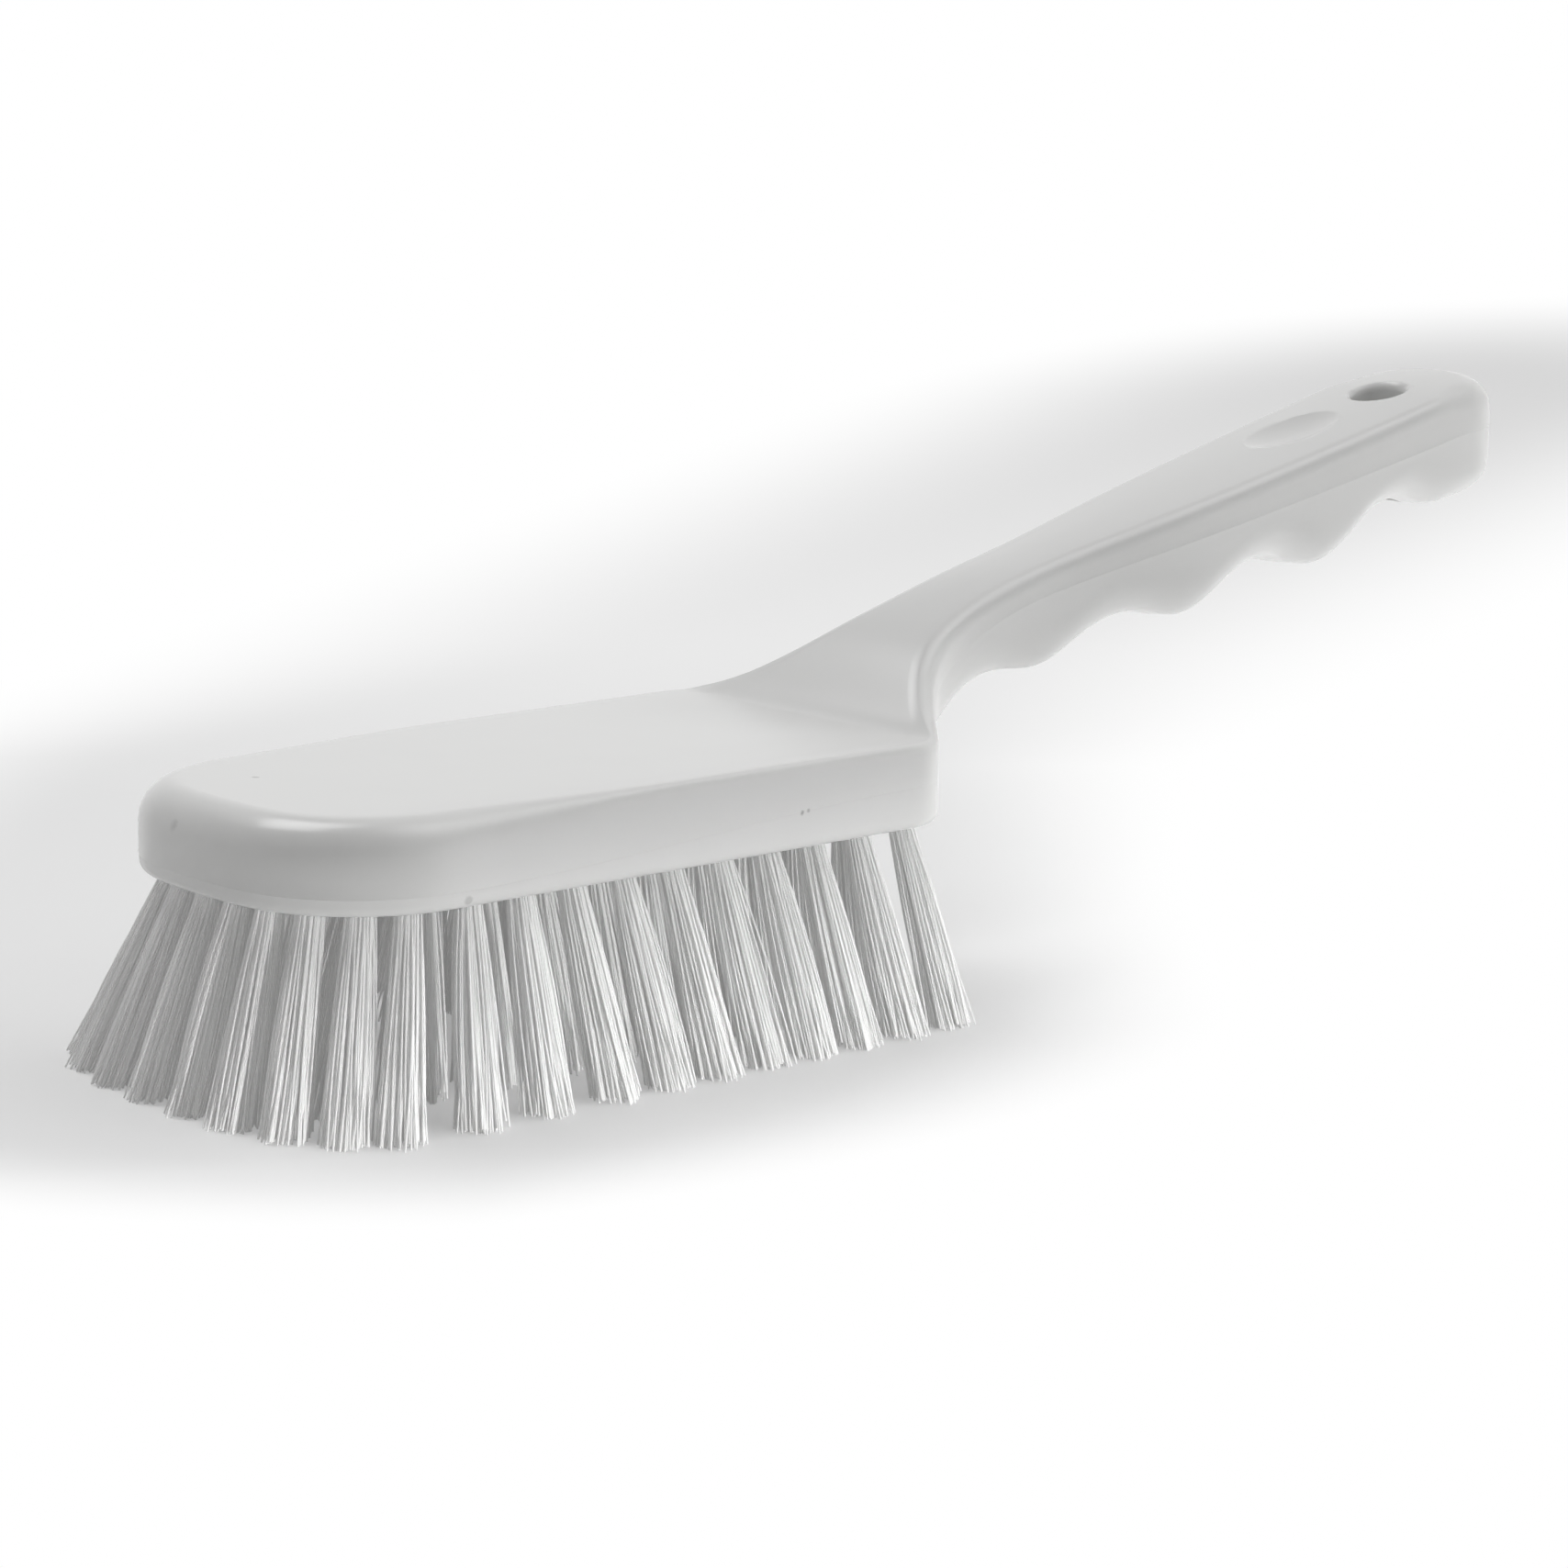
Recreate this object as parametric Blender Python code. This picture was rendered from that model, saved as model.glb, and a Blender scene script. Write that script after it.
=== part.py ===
"""Hand brush: a one-piece moulded stock with a raised finger-grip handle, and its bristle tufts.

All sizes are in metres. While the pieces are made, the nose of the block is at x = 0, the handle
points along +X and the bristle tips stand on z = 0. An empty then carries every piece, and puts
the origin on the floor below the middle of the brush.
"""

import math

import bpy
import numpy as np

# Block
HEAD_LENGTH = 0.111
HEAD_WIDTH = 0.057
HEAD_THICKNESS = 0.0122
NOSE_RADIUS = 0.094
NOSE_CORNER_RADIUS = 0.021
HEEL_CORNER_RADIUS = 0.009
NOSE_RIM_ROUND = 0.0055
HEEL_RIM_ROUND = 0.0013
RIM_ROUND_FADES_AT = 0.062
BASE_EDGE_ROUND = 0.0015
HEEL_FILLET = 0.0024

# Shoulders that draw the block in to the neck
SHOULDER_TURN = math.radians(50)
SHOULDER_STRAIGHT = 0.009
SHOULDER_PULL = 0.028
NECK_PULL = 0.060

# Handle, measured back from the heel of the block
HANDLE_LENGTH = 0.139
WAIST_BEHIND_HEEL = 0.035
WAIST_WIDTH = 0.0168
GRIP_WIDTH = 0.0268
GRIP_WIDTH_POINTS = ((0.026, 0.0022), (0.052, 0.0040))
SWEEP_START = 0.006
SWEEP_POINTS = ((0.001, 0.0038), (0.009, 0.0095), (0.017, 0.0131))
WAIST_RISE = 0.0184
HANDLE_SLOPE = math.radians(13.5)
END_DROOP = 0.0014
END_DROOP_LENGTH = 0.020
END_ROUND = 0.012
END_SQUARENESS = 2.4
HANDLE_RIM_ROUND = 0.0028
END_RIM_ROUND = 0.0050
TOP_CROWN = 0.0008

# Underside of the neck and grip
WEB_DROP = 0.0024
WEB_POINTS = ((0.010, -0.0019), (0.017, 0.0010))
FIRST_GROOVE = 0.0229
GROOVE_PITCH = 0.0293
GROOVE_COUNT = 4
FIRST_GROOVE_DEPTH = 0.0024
LAST_GROOVE_DEPTH = 0.0062
GROOVE_SKEW = 0.2
END_LIFT = 0.0023
NECK_DEPTH = 0.0129
GRIP_DEPTH = 0.0167
UNDER_ROUND_HEIGHT = 0.0062
UNDER_ROUND_SHARE = 0.55
UNDER_CROWN = 0.0012

# Seam where the two halves of the mould meet
SEAM_SHARE_NOSE = 0.20
SEAM_SHARE_BLOCK = 0.50
SEAM_DEPTH_WAIST = 0.0046
SEAM_DEPTH_END = 0.0078
SEAM_DRAFT = 0.00014

# Thumb dish and hanging hole
HOLE_FROM_END = 0.0192
HOLE_DIAMETER = 0.0086
HOLE_LIP = 0.0012
DISH_FROM_HOLE = 0.0208
DISH_LENGTH = 0.019
DISH_WIDTH = 0.0115
DISH_DEPTH = 0.0011

# Bristle tufts
TRIM = 0.0274
TUFT_DIAMETER = 0.0039
TUFT_TIP_DIAMETER = 0.0062
TUFT_SIDES = 8
TUFT_HOLE_DEPTH = 0.0065
TUFT_CLEARANCE = 0.0003
TUFT_REVEAL = 0.0006
STRAND_TIP_SCALE = 1.15
ANCHOR_HEIGHT = 0.0018
EDGE_MARGIN = 0.0050
HEEL_MARGIN = 0.0077
SIDE_ROW_OFFSET = 0.0053
SHOULDER_GAP = 0.0092
TUFTS_PER_SIDE = 10
TUFTS_ROUND_HALF_NOSE = 5
INNER_ROW_INSET = 0.0185
TUFTS_PER_INNER_ROW = 10
MIDDLE_ROW_INSET = 0.0155
TUFTS_IN_MIDDLE_ROW = 9
SIDE_LEAN = 0.0107
NOSE_LEAN = 0.0093
NOSE_LEAN_FULL_TO = 0.0175
NOSE_LEAN_ENDS_AT = 0.046

# Mesh density
RIM_STEPS = 4
UNDER_STEPS = 3
FILLET_STEPS = 4
GRIP_STATIONS = 38
TOP_STRIPS = 6
UNDER_STRIPS = 8
HOLE_SIDES = 32
CUTTER_REACH = 0.004

HALF_WIDTH = HEAD_WIDTH / 2
BLOCK_TOP = TRIM + HEAD_THICKNESS
WEB_UNDERSIDE = BLOCK_TOP - WEB_DROP
HANDLE_END = HEAD_LENGTH + HANDLE_LENGTH
WAIST_X = HEAD_LENGTH + WAIST_BEHIND_HEEL
FIRST_GROOVE_X = HEAD_LENGTH + FIRST_GROOVE
END_START = HANDLE_END - END_ROUND
HOLE_X = HANDLE_END - HOLE_FROM_END
SHOULDER_X = HEAD_LENGTH - HEEL_CORNER_RADIUS * (1 - math.sin(SHOULDER_TURN))
WEB_START_X = SHOULDER_X + SHOULDER_STRAIGHT * math.cos(SHOULDER_TURN)
DISH_X = HOLE_X - DISH_FROM_HOLE


def smooth_line(points, start_slope, end_slope):
    """Clamped cubic spline through (x, value) points, as a function of an array or a number."""
    x, value = np.array(points, dtype=float).T
    step = np.diff(x)
    rise = np.diff(value) / step
    count = len(x)
    matrix = np.zeros((count, count))
    right = np.zeros(count)
    matrix[0, 0] = matrix[-1, -1] = 1.0
    right[0], right[-1] = start_slope, end_slope
    for i in range(1, count - 1):
        matrix[i, i - 1 : i + 2] = step[i], 2 * (step[i - 1] + step[i]), step[i - 1]
        right[i] = 3 * (step[i] * rise[i - 1] + step[i - 1] * rise[i])
    slope = np.linalg.solve(matrix, right)

    def line(at):
        at = np.clip(at, x[0], x[-1])
        i = np.clip(np.searchsorted(x, at) - 1, 0, count - 2)
        t = (at - x[i]) / step[i]
        bend_in = (1 + 2 * t) * (1 - t) ** 2 * value[i] + t * (1 - t) ** 2 * step[i] * slope[i]
        bend_out = t * t * (3 - 2 * t) * value[i + 1] - t * t * (1 - t) * step[i] * slope[i + 1]
        return bend_in + bend_out

    return line


def fade(at, start, end):
    """Smooth change from 0 at start to 1 at end."""
    t = np.clip((np.asarray(at, dtype=float) - start) / (end - start), 0, 1)
    return t * t * (3 - 2 * t)


SWEEP = smooth_line(
    ((-SWEEP_START, 0.0), *SWEEP_POINTS, (WAIST_BEHIND_HEEL, WAIST_RISE)),
    0.0,
    math.tan(HANDLE_SLOPE),
)


def top_height(x):
    """Height of the top face: flat on the block, swept up behind it, then straight."""
    beyond = np.maximum(x - WAIST_X, 0)
    droop = np.clip((x - (HANDLE_END - END_DROOP_LENGTH)) / END_DROOP_LENGTH, 0, 1) ** 2 * END_DROOP
    return BLOCK_TOP + SWEEP(x - HEAD_LENGTH) + beyond * math.tan(HANDLE_SLOPE) - droop


def grip_underside(x):
    """Underside of the grip: finger grooves as waves that deepen with the grip, up to the end."""
    behind = x - FIRST_GROOVE_X
    grown = np.minimum(behind / (END_START - FIRST_GROOVE_X), 1)
    depth = NECK_DEPTH + (GRIP_DEPTH - NECK_DEPTH) * grown
    reach = (FIRST_GROOVE_DEPTH + (LAST_GROOVE_DEPTH - FIRST_GROOVE_DEPTH) * grown) / 2
    turn = 2 * np.pi * np.clip(behind / GROOVE_PITCH, 0, GROOVE_COUNT - 0.5)
    wave = reach * np.cos(turn - GROOVE_SKEW * np.sin(turn))
    last_groove = FIRST_GROOVE_X + (GROOVE_COUNT - 1) * GROOVE_PITCH
    lift = END_LIFT * fade(x, last_groove, END_START)
    return top_height(x) - depth + wave + lift


WEB = smooth_line(
    (
        (WEB_START_X - HEAD_LENGTH, -WEB_DROP),
        *WEB_POINTS,
        (FIRST_GROOVE, float(grip_underside(FIRST_GROOVE_X)) - BLOCK_TOP),
    ),
    0.05,
    float(grip_underside(FIRST_GROOVE_X + 1e-4) - grip_underside(FIRST_GROOVE_X)) / 1e-4,
)


def underside(x):
    """Underside behind the heel: hollow fillet, web of the neck, then the grip."""
    short = np.clip((WEB_START_X - x) / (WEB_START_X - SHOULDER_X), 0, 1)
    fillet = HEEL_FILLET * (1 - np.sqrt(1 - short**2))
    return np.where(x < FIRST_GROOVE_X, BLOCK_TOP + WEB(x - HEAD_LENGTH) - fillet, grip_underside(x))


def arc(centre, radius, start, end, count):
    """Points on an arc. Angles are turned from the -X direction towards +Y."""
    turn = np.linspace(start, end, count + 1)
    return np.stack([centre[0] - radius * np.cos(turn), centre[1] + radius * np.sin(turn)], 1)


def nose_geometry(inset):
    """Centre of the nose corner and the turn at which the front arc meets it."""
    corner_y = HALF_WIDTH - NOSE_CORNER_RADIUS
    corner_x = NOSE_RADIUS - math.sqrt((NOSE_RADIUS - NOSE_CORNER_RADIUS) ** 2 - corner_y**2)
    turn = math.atan2(corner_y, NOSE_RADIUS - corner_x)
    return (corner_x, corner_y), turn, NOSE_RADIUS - inset, NOSE_CORNER_RADIUS - inset


def block_outline():
    """Half outline of the block, from the nose along the +Y side to where the shoulder leaves."""
    corner, turn, front_radius, corner_radius = nose_geometry(0.0)
    front = arc((NOSE_RADIUS, 0.0), front_radius, 0.0, turn, 4)
    shoulder = arc(corner, corner_radius, turn, math.pi / 2, 10)
    heel_centre = (HEAD_LENGTH - HEEL_CORNER_RADIUS, HALF_WIDTH - HEEL_CORNER_RADIUS)
    side_x = np.linspace(corner[0], heel_centre[0], 9)[1:]
    side = np.stack([side_x, np.full(len(side_x), HALF_WIDTH)], 1)
    heel = arc(heel_centre, HEEL_CORNER_RADIUS, math.pi / 2, math.pi / 2 + SHOULDER_TURN, 5)
    return np.concatenate([front, shoulder[1:], side, heel[1:]])


def shoulder_outline(start):
    """Straight part of the shoulder, with close steps where the heel's fillet rises under it."""
    along = SHOULDER_STRAIGHT * (1 - np.cos(fillet_turns()))
    direction = np.array([math.cos(SHOULDER_TURN), -math.sin(SHOULDER_TURN)])
    return start + along[:, None] * direction


def fillet_turns():
    """Turns at which the hollow fillet between the heel and the web of the neck is stepped."""
    return np.linspace(0, np.pi / 2, FILLET_STEPS + 1)[1:]


def neck_outline(start):
    """Concave curve from the shoulder to the waist of the neck."""
    waist = np.array([WAIST_X, WAIST_WIDTH / 2])
    leave = SHOULDER_PULL * np.array([math.cos(SHOULDER_TURN), -math.sin(SHOULDER_TURN)])
    arrive = NECK_PULL * np.array([1.0, 0.0])
    t = np.linspace(0, 1, 11)[1:, None]
    return (
        (1 + 2 * t) * (1 - t) ** 2 * start
        + t * (1 - t) ** 2 * leave
        + t * t * (3 - 2 * t) * waist
        - t * t * (1 - t) * arrive
    )


def grip_outline():
    """Half outline of the grip, from the waist to the tip of its rounded end."""
    widths = smooth_line(
        (
            (0.0, WAIST_WIDTH / 2),
            *((at, WAIST_WIDTH / 2 + more) for at, more in GRIP_WIDTH_POINTS),
            (END_START - WAIST_X, GRIP_WIDTH / 2),
        ),
        0.0,
        0.0,
    )
    x = np.linspace(WAIST_X, END_START, GRIP_STATIONS + 1)[1:]
    sides = np.stack([x, widths(x - WAIST_X)], 1)
    turn = np.linspace(0, np.pi / 2, 10)[1:]
    end_x = END_START + END_ROUND * np.sin(turn) ** (2 / END_SQUARENESS)
    end_y = GRIP_WIDTH / 2 * np.abs(np.cos(turn)) ** (2 / END_SQUARENESS)
    end_y[-1] = 0.0
    return np.concatenate([sides, np.stack([end_x, end_y], 1)])


def inward_normals(outline):
    """Unit normals that point into a half outline whose ends lie on the centre line."""
    before = np.vstack([outline[1] * (1, -1), outline[:-1]])
    after = np.vstack([outline[1:], outline[-2] * (1, -1)])
    along = after - before
    along /= np.linalg.norm(along, axis=1)[:, None]
    return np.stack([along[:, 1], -along[:, 0]], 1)


def quarter_round(count):
    """Insets and drops of a unit quarter round, as two arrays from its flat to its wall."""
    turn = np.linspace(0, np.pi / 2, count + 1)
    return 1 - np.sin(turn), 1 - np.cos(turn)


def rung(edge, crown, reference, strips):
    """Points across a face between an edge point and its mirror image, both left out."""
    across = edge[1] * np.linspace(1, -1, strips + 1)[1:-1]
    points = np.tile(edge, (len(across), 1))
    points[:, 1] = across
    points[:, 2] += crown * (edge[1] ** 2 - across**2) / reference**2
    return points


def reference_half_width(point):
    """Half width that a crown spans at a station; at the rounded end it stays that of the grip."""
    return max(point[1], WAIST_WIDTH / 2) if point[0] < END_START else GRIP_WIDTH / 2


def top_crown(x):
    """Rise of the handle's top face in its middle."""
    return TOP_CROWN * float(fade(x, HEAD_LENGTH, WAIST_X))


def under_crown(x):
    """Drop of the handle's underside in its middle."""
    return UNDER_CROWN * float(fade(x, WEB_START_X, FIRST_GROOVE_X))


def heel_rung(inset, height):
    """Points across the heel at one height, round its two corners, between the shoulders."""
    radius = HEEL_CORNER_RADIUS - inset
    centre = (HEAD_LENGTH - HEEL_CORNER_RADIUS, HALF_WIDTH - HEEL_CORNER_RADIUS)
    corner = arc(centre, radius, math.pi / 2 + SHOULDER_TURN, math.pi, 2)[1:]
    flat_share = np.linspace(1, 0, UNDER_STRIPS // 2 - 1)[1:]
    flat = np.stack([np.full(len(flat_share), corner[-1][0]), corner[-1][1] * flat_share], 1)
    half = np.vstack([corner, flat])
    both = np.vstack([half, half[-2::-1] * (1, -1)])
    return np.column_stack([both, np.full(len(both), height)])


def stock_rings():
    """Closed rings of points round the stock, one for each station from the nose to the end."""
    block = block_outline()
    shoulder = shoulder_outline(block[-1])
    outline = np.concatenate([block, shoulder, neck_outline(shoulder[-1]), grip_outline()])
    inward = inward_normals(outline)
    heel_station = len(block) - 1
    exit_rung = web_start_rung(outline[heel_station + FILLET_STEPS], inward[heel_station + FILLET_STEPS])
    rings = []
    for i, (point, normal) in enumerate(zip(outline, inward)):
        step = i - heel_station
        insets, heights = wall_profile(point, normal, step)
        near = np.column_stack([point + insets[:, None] * normal, heights])
        reference = reference_half_width(point)
        top_row = rung(near[0], top_crown(near[0][0]), reference, TOP_STRIPS)[::-1]
        below = rung(near[-1], -under_crown(near[-1][0]), reference, UNDER_STRIPS)
        if i < heel_station:
            rings.append(closed_ring(near, below, top_row))
        elif i == heel_station:
            for climbed in range(len(near) - RIM_STEPS - 1):
                level = len(near) - 1 - climbed
                rows = near[np.minimum(np.arange(len(near)), level)]
                rings.append(closed_ring(rows, heel_rung(insets[level], heights[level]), top_row))
            heel = rings[-1][len(near) : len(near) + UNDER_STRIPS - 1]
        else:
            if step < FILLET_STEPS:
                blend = 1 - math.cos(fillet_turns()[step - 1])
                below[:, :2] = heel[:, :2] + blend * (exit_rung - heel[:, :2])
            rings.append(closed_ring(near, below, top_row))
    return np.array(rings)


def web_start_rung(point, normal):
    """Points across the web where the fillet of the heel has ended."""
    insets, _ = wall_profile(point, normal, FILLET_STEPS)
    x, y = point + insets[-1] * normal
    return rung(np.array([x, y, 0.0]), 0.0, HALF_WIDTH, UNDER_STRIPS)[:, :2]


def closed_ring(near, across, top_row):
    """One ring: down the near wall, across below, up the far wall and back across the top."""
    return np.vstack([near, across, near[::-1] * (1, -1, 1), top_row])


def wall_profile(point, normal, step):
    """Insets and heights of the rows down the wall at a station, counted in steps past the heel."""
    x, y = point
    under_block = step <= 0
    reference = reference_half_width(point)
    rim = rim_round(x)
    rim_x, rim_y = point + rim * normal
    top = float(top_height(rim_x)) + top_crown(rim_x) * (1 - (rim_y / reference) ** 2)
    if under_block:
        base, round_in, round_up = TRIM, BASE_EDGE_ROUND, BASE_EDGE_ROUND
    else:
        round_in, round_up = under_round(x)
        along = SHOULDER_STRAIGHT * (1 - math.cos(min(step / FILLET_STEPS, 1) * math.pi / 2))
        if step <= FILLET_STEPS:
            round_in = min(round_in, math.hypot(along, HEEL_CORNER_RADIUS) - HEEL_CORNER_RADIUS)
        low_x, low_y = (x, y) if step <= FILLET_STEPS else point + round_in * normal
        base = float(underside(low_x)) - under_crown(low_x) * (1 - (low_y / reference) ** 2)
        round_up = min(round_up, 0.6 * (top - rim - base))
    low, high = base + round_up, top - rim
    seam = min(max(seam_height(x, base, top), low + 0.12 * (high - low)), high - 0.2 * (high - low))
    heel_line = (seam + high) / 2
    if under_block:
        heel_line = min(WEB_UNDERSIDE - HEEL_FILLET, heel_line)
    rim_in, rim_down = quarter_round(RIM_STEPS)
    base_in, base_up = quarter_round(UNDER_STEPS)
    insets = [*(rim * rim_in), 0.0, -seam_draft(x), *(round_in * base_in[::-1])]
    heights = [*(top - rim * rim_down), heel_line, seam, *(base + round_up * base_up[::-1])]
    return np.array(insets), np.array(heights)


def seam_height(x, base, top):
    """Height of the seam: low on the nose, half way up at the heel, level with the handle's top."""
    to_heel = float(fade(x, NOSE_CORNER_RADIUS, HEAD_LENGTH - HEEL_CORNER_RADIUS))
    on_block = base + (SEAM_SHARE_NOSE + (SEAM_SHARE_BLOCK - SEAM_SHARE_NOSE) * to_heel) * (top - base)
    to_end = (x - WAIST_X) / (HANDLE_END - WAIST_X)
    on_handle = top - SEAM_DEPTH_WAIST - (SEAM_DEPTH_END - SEAM_DEPTH_WAIST) * to_end
    return on_block + (on_handle - on_block) * float(fade(x, HEAD_LENGTH, WAIST_X))


def seam_draft(x):
    """How far the wall stands out at the seam: nothing where the neck leaves the heel's corners."""
    heel_start = HEAD_LENGTH - HEEL_CORNER_RADIUS
    on_block = 1 - fade(x, heel_start - 2 * HEEL_CORNER_RADIUS, heel_start)
    return SEAM_DRAFT * float(on_block + fade(x, WEB_START_X, WAIST_X))


def rim_round(x):
    """Radius of the round along the top edge: large at the nose, crisp at the heel, soft behind."""
    to_heel = HEEL_RIM_ROUND - NOSE_RIM_ROUND
    block = NOSE_RIM_ROUND + to_heel * fade(x, NOSE_CORNER_RADIUS / 2, RIM_ROUND_FADES_AT)
    handle = HANDLE_RIM_ROUND - HEEL_RIM_ROUND
    end = END_RIM_ROUND - HANDLE_RIM_ROUND
    behind = handle * fade(x, HEAD_LENGTH - HEEL_CORNER_RADIUS / 2, WEB_START_X)
    return float(block + behind + end * fade(x, HOLE_X, END_START))


def under_round(x):
    """Width and height of the round along the underside behind the heel."""
    grown = float(fade(x, WEB_START_X, FIRST_GROOVE_X))
    half_width = (WAIST_WIDTH + (GRIP_WIDTH - WAIST_WIDTH) * float(fade(x, WAIST_X, END_START))) / 2
    round_in = BASE_EDGE_ROUND + (UNDER_ROUND_SHARE * half_width - BASE_EDGE_ROUND) * grown
    round_up = BASE_EDGE_ROUND + (UNDER_ROUND_HEIGHT - BASE_EDGE_ROUND) * grown
    return round_in, round_up


def build_object(name, points, faces, material):
    """Object from points and faces, smooth where its faces meet at less than 35 degrees."""
    mesh = bpy.data.meshes.new(name)
    mesh.from_pydata([tuple(map(float, p)) for p in points], [], faces)
    mesh.validate()
    mesh.materials.append(material)
    finish_shading(mesh)
    piece = bpy.data.objects.new(name, mesh)
    bpy.context.scene.collection.objects.link(piece)
    piece.parent = CARRIER
    return piece


def join_rings(rings):
    """Faces between neighbouring closed rings, with coinciding points made one."""
    count, size = rings.shape[:2]
    points, index = np.unique(np.round(rings.reshape(-1, 3), 8), axis=0, return_inverse=True)
    index = index.reshape(count, size)
    faces = []
    for i in range(count - 1):
        for j in range(size):
            k = (j + 1) % size
            corners = [index[i, j], index[i, k], index[i + 1, k], index[i + 1, j]]
            face = [int(c) for n, c in enumerate(corners) if c not in corners[:n]]
            if len(face) > 2:
                faces.append(face[::-1])
    return points, faces


def plastic(name, colour, roughness):
    """Plain glossy plastic."""
    material = bpy.data.materials.new(name)
    material.use_nodes = True
    shader = material.node_tree.nodes["Principled BSDF"]
    shader.inputs["Base Color"].default_value = (*colour, 1.0)
    shader.inputs["Roughness"].default_value = roughness
    shader.inputs["Metallic"].default_value = 0.0
    return material


def nose_point(distance):
    """Point on the outer tuft ring, at a distance along it from the middle of the nose."""
    corner, turn, front_radius, corner_radius = nose_geometry(EDGE_MARGIN)
    front_length = front_radius * turn
    if distance < front_length:
        angle = distance / front_radius
        return NOSE_RADIUS - front_radius * math.cos(angle), front_radius * math.sin(angle)
    angle = min(turn + (distance - front_length) / corner_radius, math.pi / 2)
    straight = max(distance - front_length - corner_radius * (math.pi / 2 - turn), 0.0)
    x = corner[0] - corner_radius * math.cos(angle) + straight
    return x, corner[1] + corner_radius * math.sin(angle)


def tuft_places():
    """Name and root position of every tuft on the underside of the block."""
    corner, turn, front_radius, corner_radius = nose_geometry(EDGE_MARGIN)
    ring_y = HALF_WIDTH - EDGE_MARGIN
    last_x = HEAD_LENGTH - HEEL_MARGIN
    first_x = corner[0] + SIDE_ROW_OFFSET
    nose_length = front_radius * turn + corner_radius * (math.pi / 2 - turn) + SIDE_ROW_OFFSET
    nose_pitch = (nose_length - SHOULDER_GAP) / (TUFTS_ROUND_HALF_NOSE - 0.5)
    places = []
    for side, mark in ((-1, "near"), (1, "far")):
        for i in range(TUFTS_ROUND_HALF_NOSE):
            x, y = nose_point((i + 0.5) * nose_pitch)
            places.append((f"tuft_nose_{mark}_{i + 1:02d}", x, side * y))
        for i, x in enumerate(np.linspace(first_x, last_x, TUFTS_PER_SIDE)):
            places.append((f"tuft_outer_{mark}_{i + 1:02d}", float(x), side * ring_y))
        for i, x in enumerate(np.linspace(INNER_ROW_INSET, last_x, TUFTS_PER_INNER_ROW)):
            places.append((f"tuft_inner_{mark}_{i + 1:02d}", float(x), side * ring_y / 2))
    for i, x in enumerate(np.linspace(MIDDLE_ROW_INSET, last_x, TUFTS_IN_MIDDLE_ROW)):
        places.append((f"tuft_middle_{i + 1:02d}", float(x), 0.0))
    return places


def tuft_lean(x, y):
    """How far a tuft's tip lies from below its root: outwards, and forwards near the nose."""
    forward = (NOSE_LEAN_ENDS_AT - x) / (NOSE_LEAN_ENDS_AT - NOSE_LEAN_FULL_TO)
    return np.array([-NOSE_LEAN * min(max(forward, 0.0), 1.0), SIDE_LEAN * y / (HALF_WIDTH - EDGE_MARGIN)])


def tuft_section(x, y, height, radius):
    """Level section of a leaning tuft or of its hole, at a height."""
    shift = tuft_lean(x, y) * (TRIM - height) / TRIM
    turn = (np.arange(TUFT_SIDES) + 0.5) * 2 * np.pi / TUFT_SIDES
    ring = np.stack([x + shift[0] + radius * np.cos(turn), y + shift[1] + radius * np.sin(turn)], 1)
    return np.column_stack([ring, np.full(TUFT_SIDES, height)])


def tuft(name, x, y, material):
    """Bundle of strands on its folded root, with the flat anchor that pins the fold."""
    radius = TUFT_DIAMETER / 2
    anchor_top = TRIM + TUFT_HOLE_DEPTH - TUFT_CLEARANCE
    root_height = anchor_top - ANCHOR_HEIGHT
    mouth_height = TRIM - TUFT_REVEAL
    root = tuft_section(x, y, root_height, radius)
    mouth = tuft_section(x, y, mouth_height, radius)
    quarter, half = TUFT_SIDES // 4, TUFT_SIDES // 2
    pin_corners = [0, half - 1, half, TUFT_SIDES - 1]
    pin = tuft_section(x, y, anchor_top, radius)[pin_corners]
    centre = mouth.mean(axis=0)
    points = [*root, *mouth, centre, *pin]
    middle, pin_start = 2 * TUFT_SIDES, 2 * TUFT_SIDES + 1
    following = [(i + 1) % TUFT_SIDES for i in range(TUFT_SIDES)]
    faces = [[i, TUFT_SIDES + i, TUFT_SIDES + k, k] for i, k in enumerate(following)]
    faces.append(list(range(0, half)))
    faces.append(list(range(half, TUFT_SIDES)))
    for i, corner in enumerate(pin_corners):
        k = (i + 1) % len(pin_corners)
        faces.append([corner, pin_corners[k], pin_start + k, pin_start + i])
    faces.append([pin_start + i for i in range(len(pin_corners))])
    tip_centre = np.array([x, y, 0.0]) + np.array([*tuft_lean(x, y), 0.0])
    for i in range(TUFT_SIDES):
        base = [middle, TUFT_SIDES + i, TUFT_SIDES + following[i]]
        offsets = np.array([points[b] - centre for b in base])
        heart = offsets.mean(axis=0)
        outer_middle = heart * 1.5
        tip_outer_middle = outer_middle * TUFT_TIP_DIAMETER / TUFT_DIAMETER
        tips = tip_centre + tip_outer_middle + (offsets - outer_middle) * STRAND_TIP_SCALE
        start = len(points)
        points.extend(tips)
        for a in range(3):
            b = (a + 1) % 3
            faces.append([base[a], start + a, start + b, base[b]])
        faces.append([start, start + 1, start + 2][::-1])
    return build_object(name, points, faces, material)


def prism(sections):
    """Points and faces of a closed solid through equal polygon sections."""
    size = len(sections[0])
    points = np.vstack(sections)
    faces = [list(range(size))[::-1], list(range(len(points) - size, len(points)))]
    for level in range(len(sections) - 1):
        for i in range(size):
            k = (i + 1) % size
            a, b = level * size, (level + 1) * size
            faces.append([a + k, b + k, b + i, a + i])
    return points, faces


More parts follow.
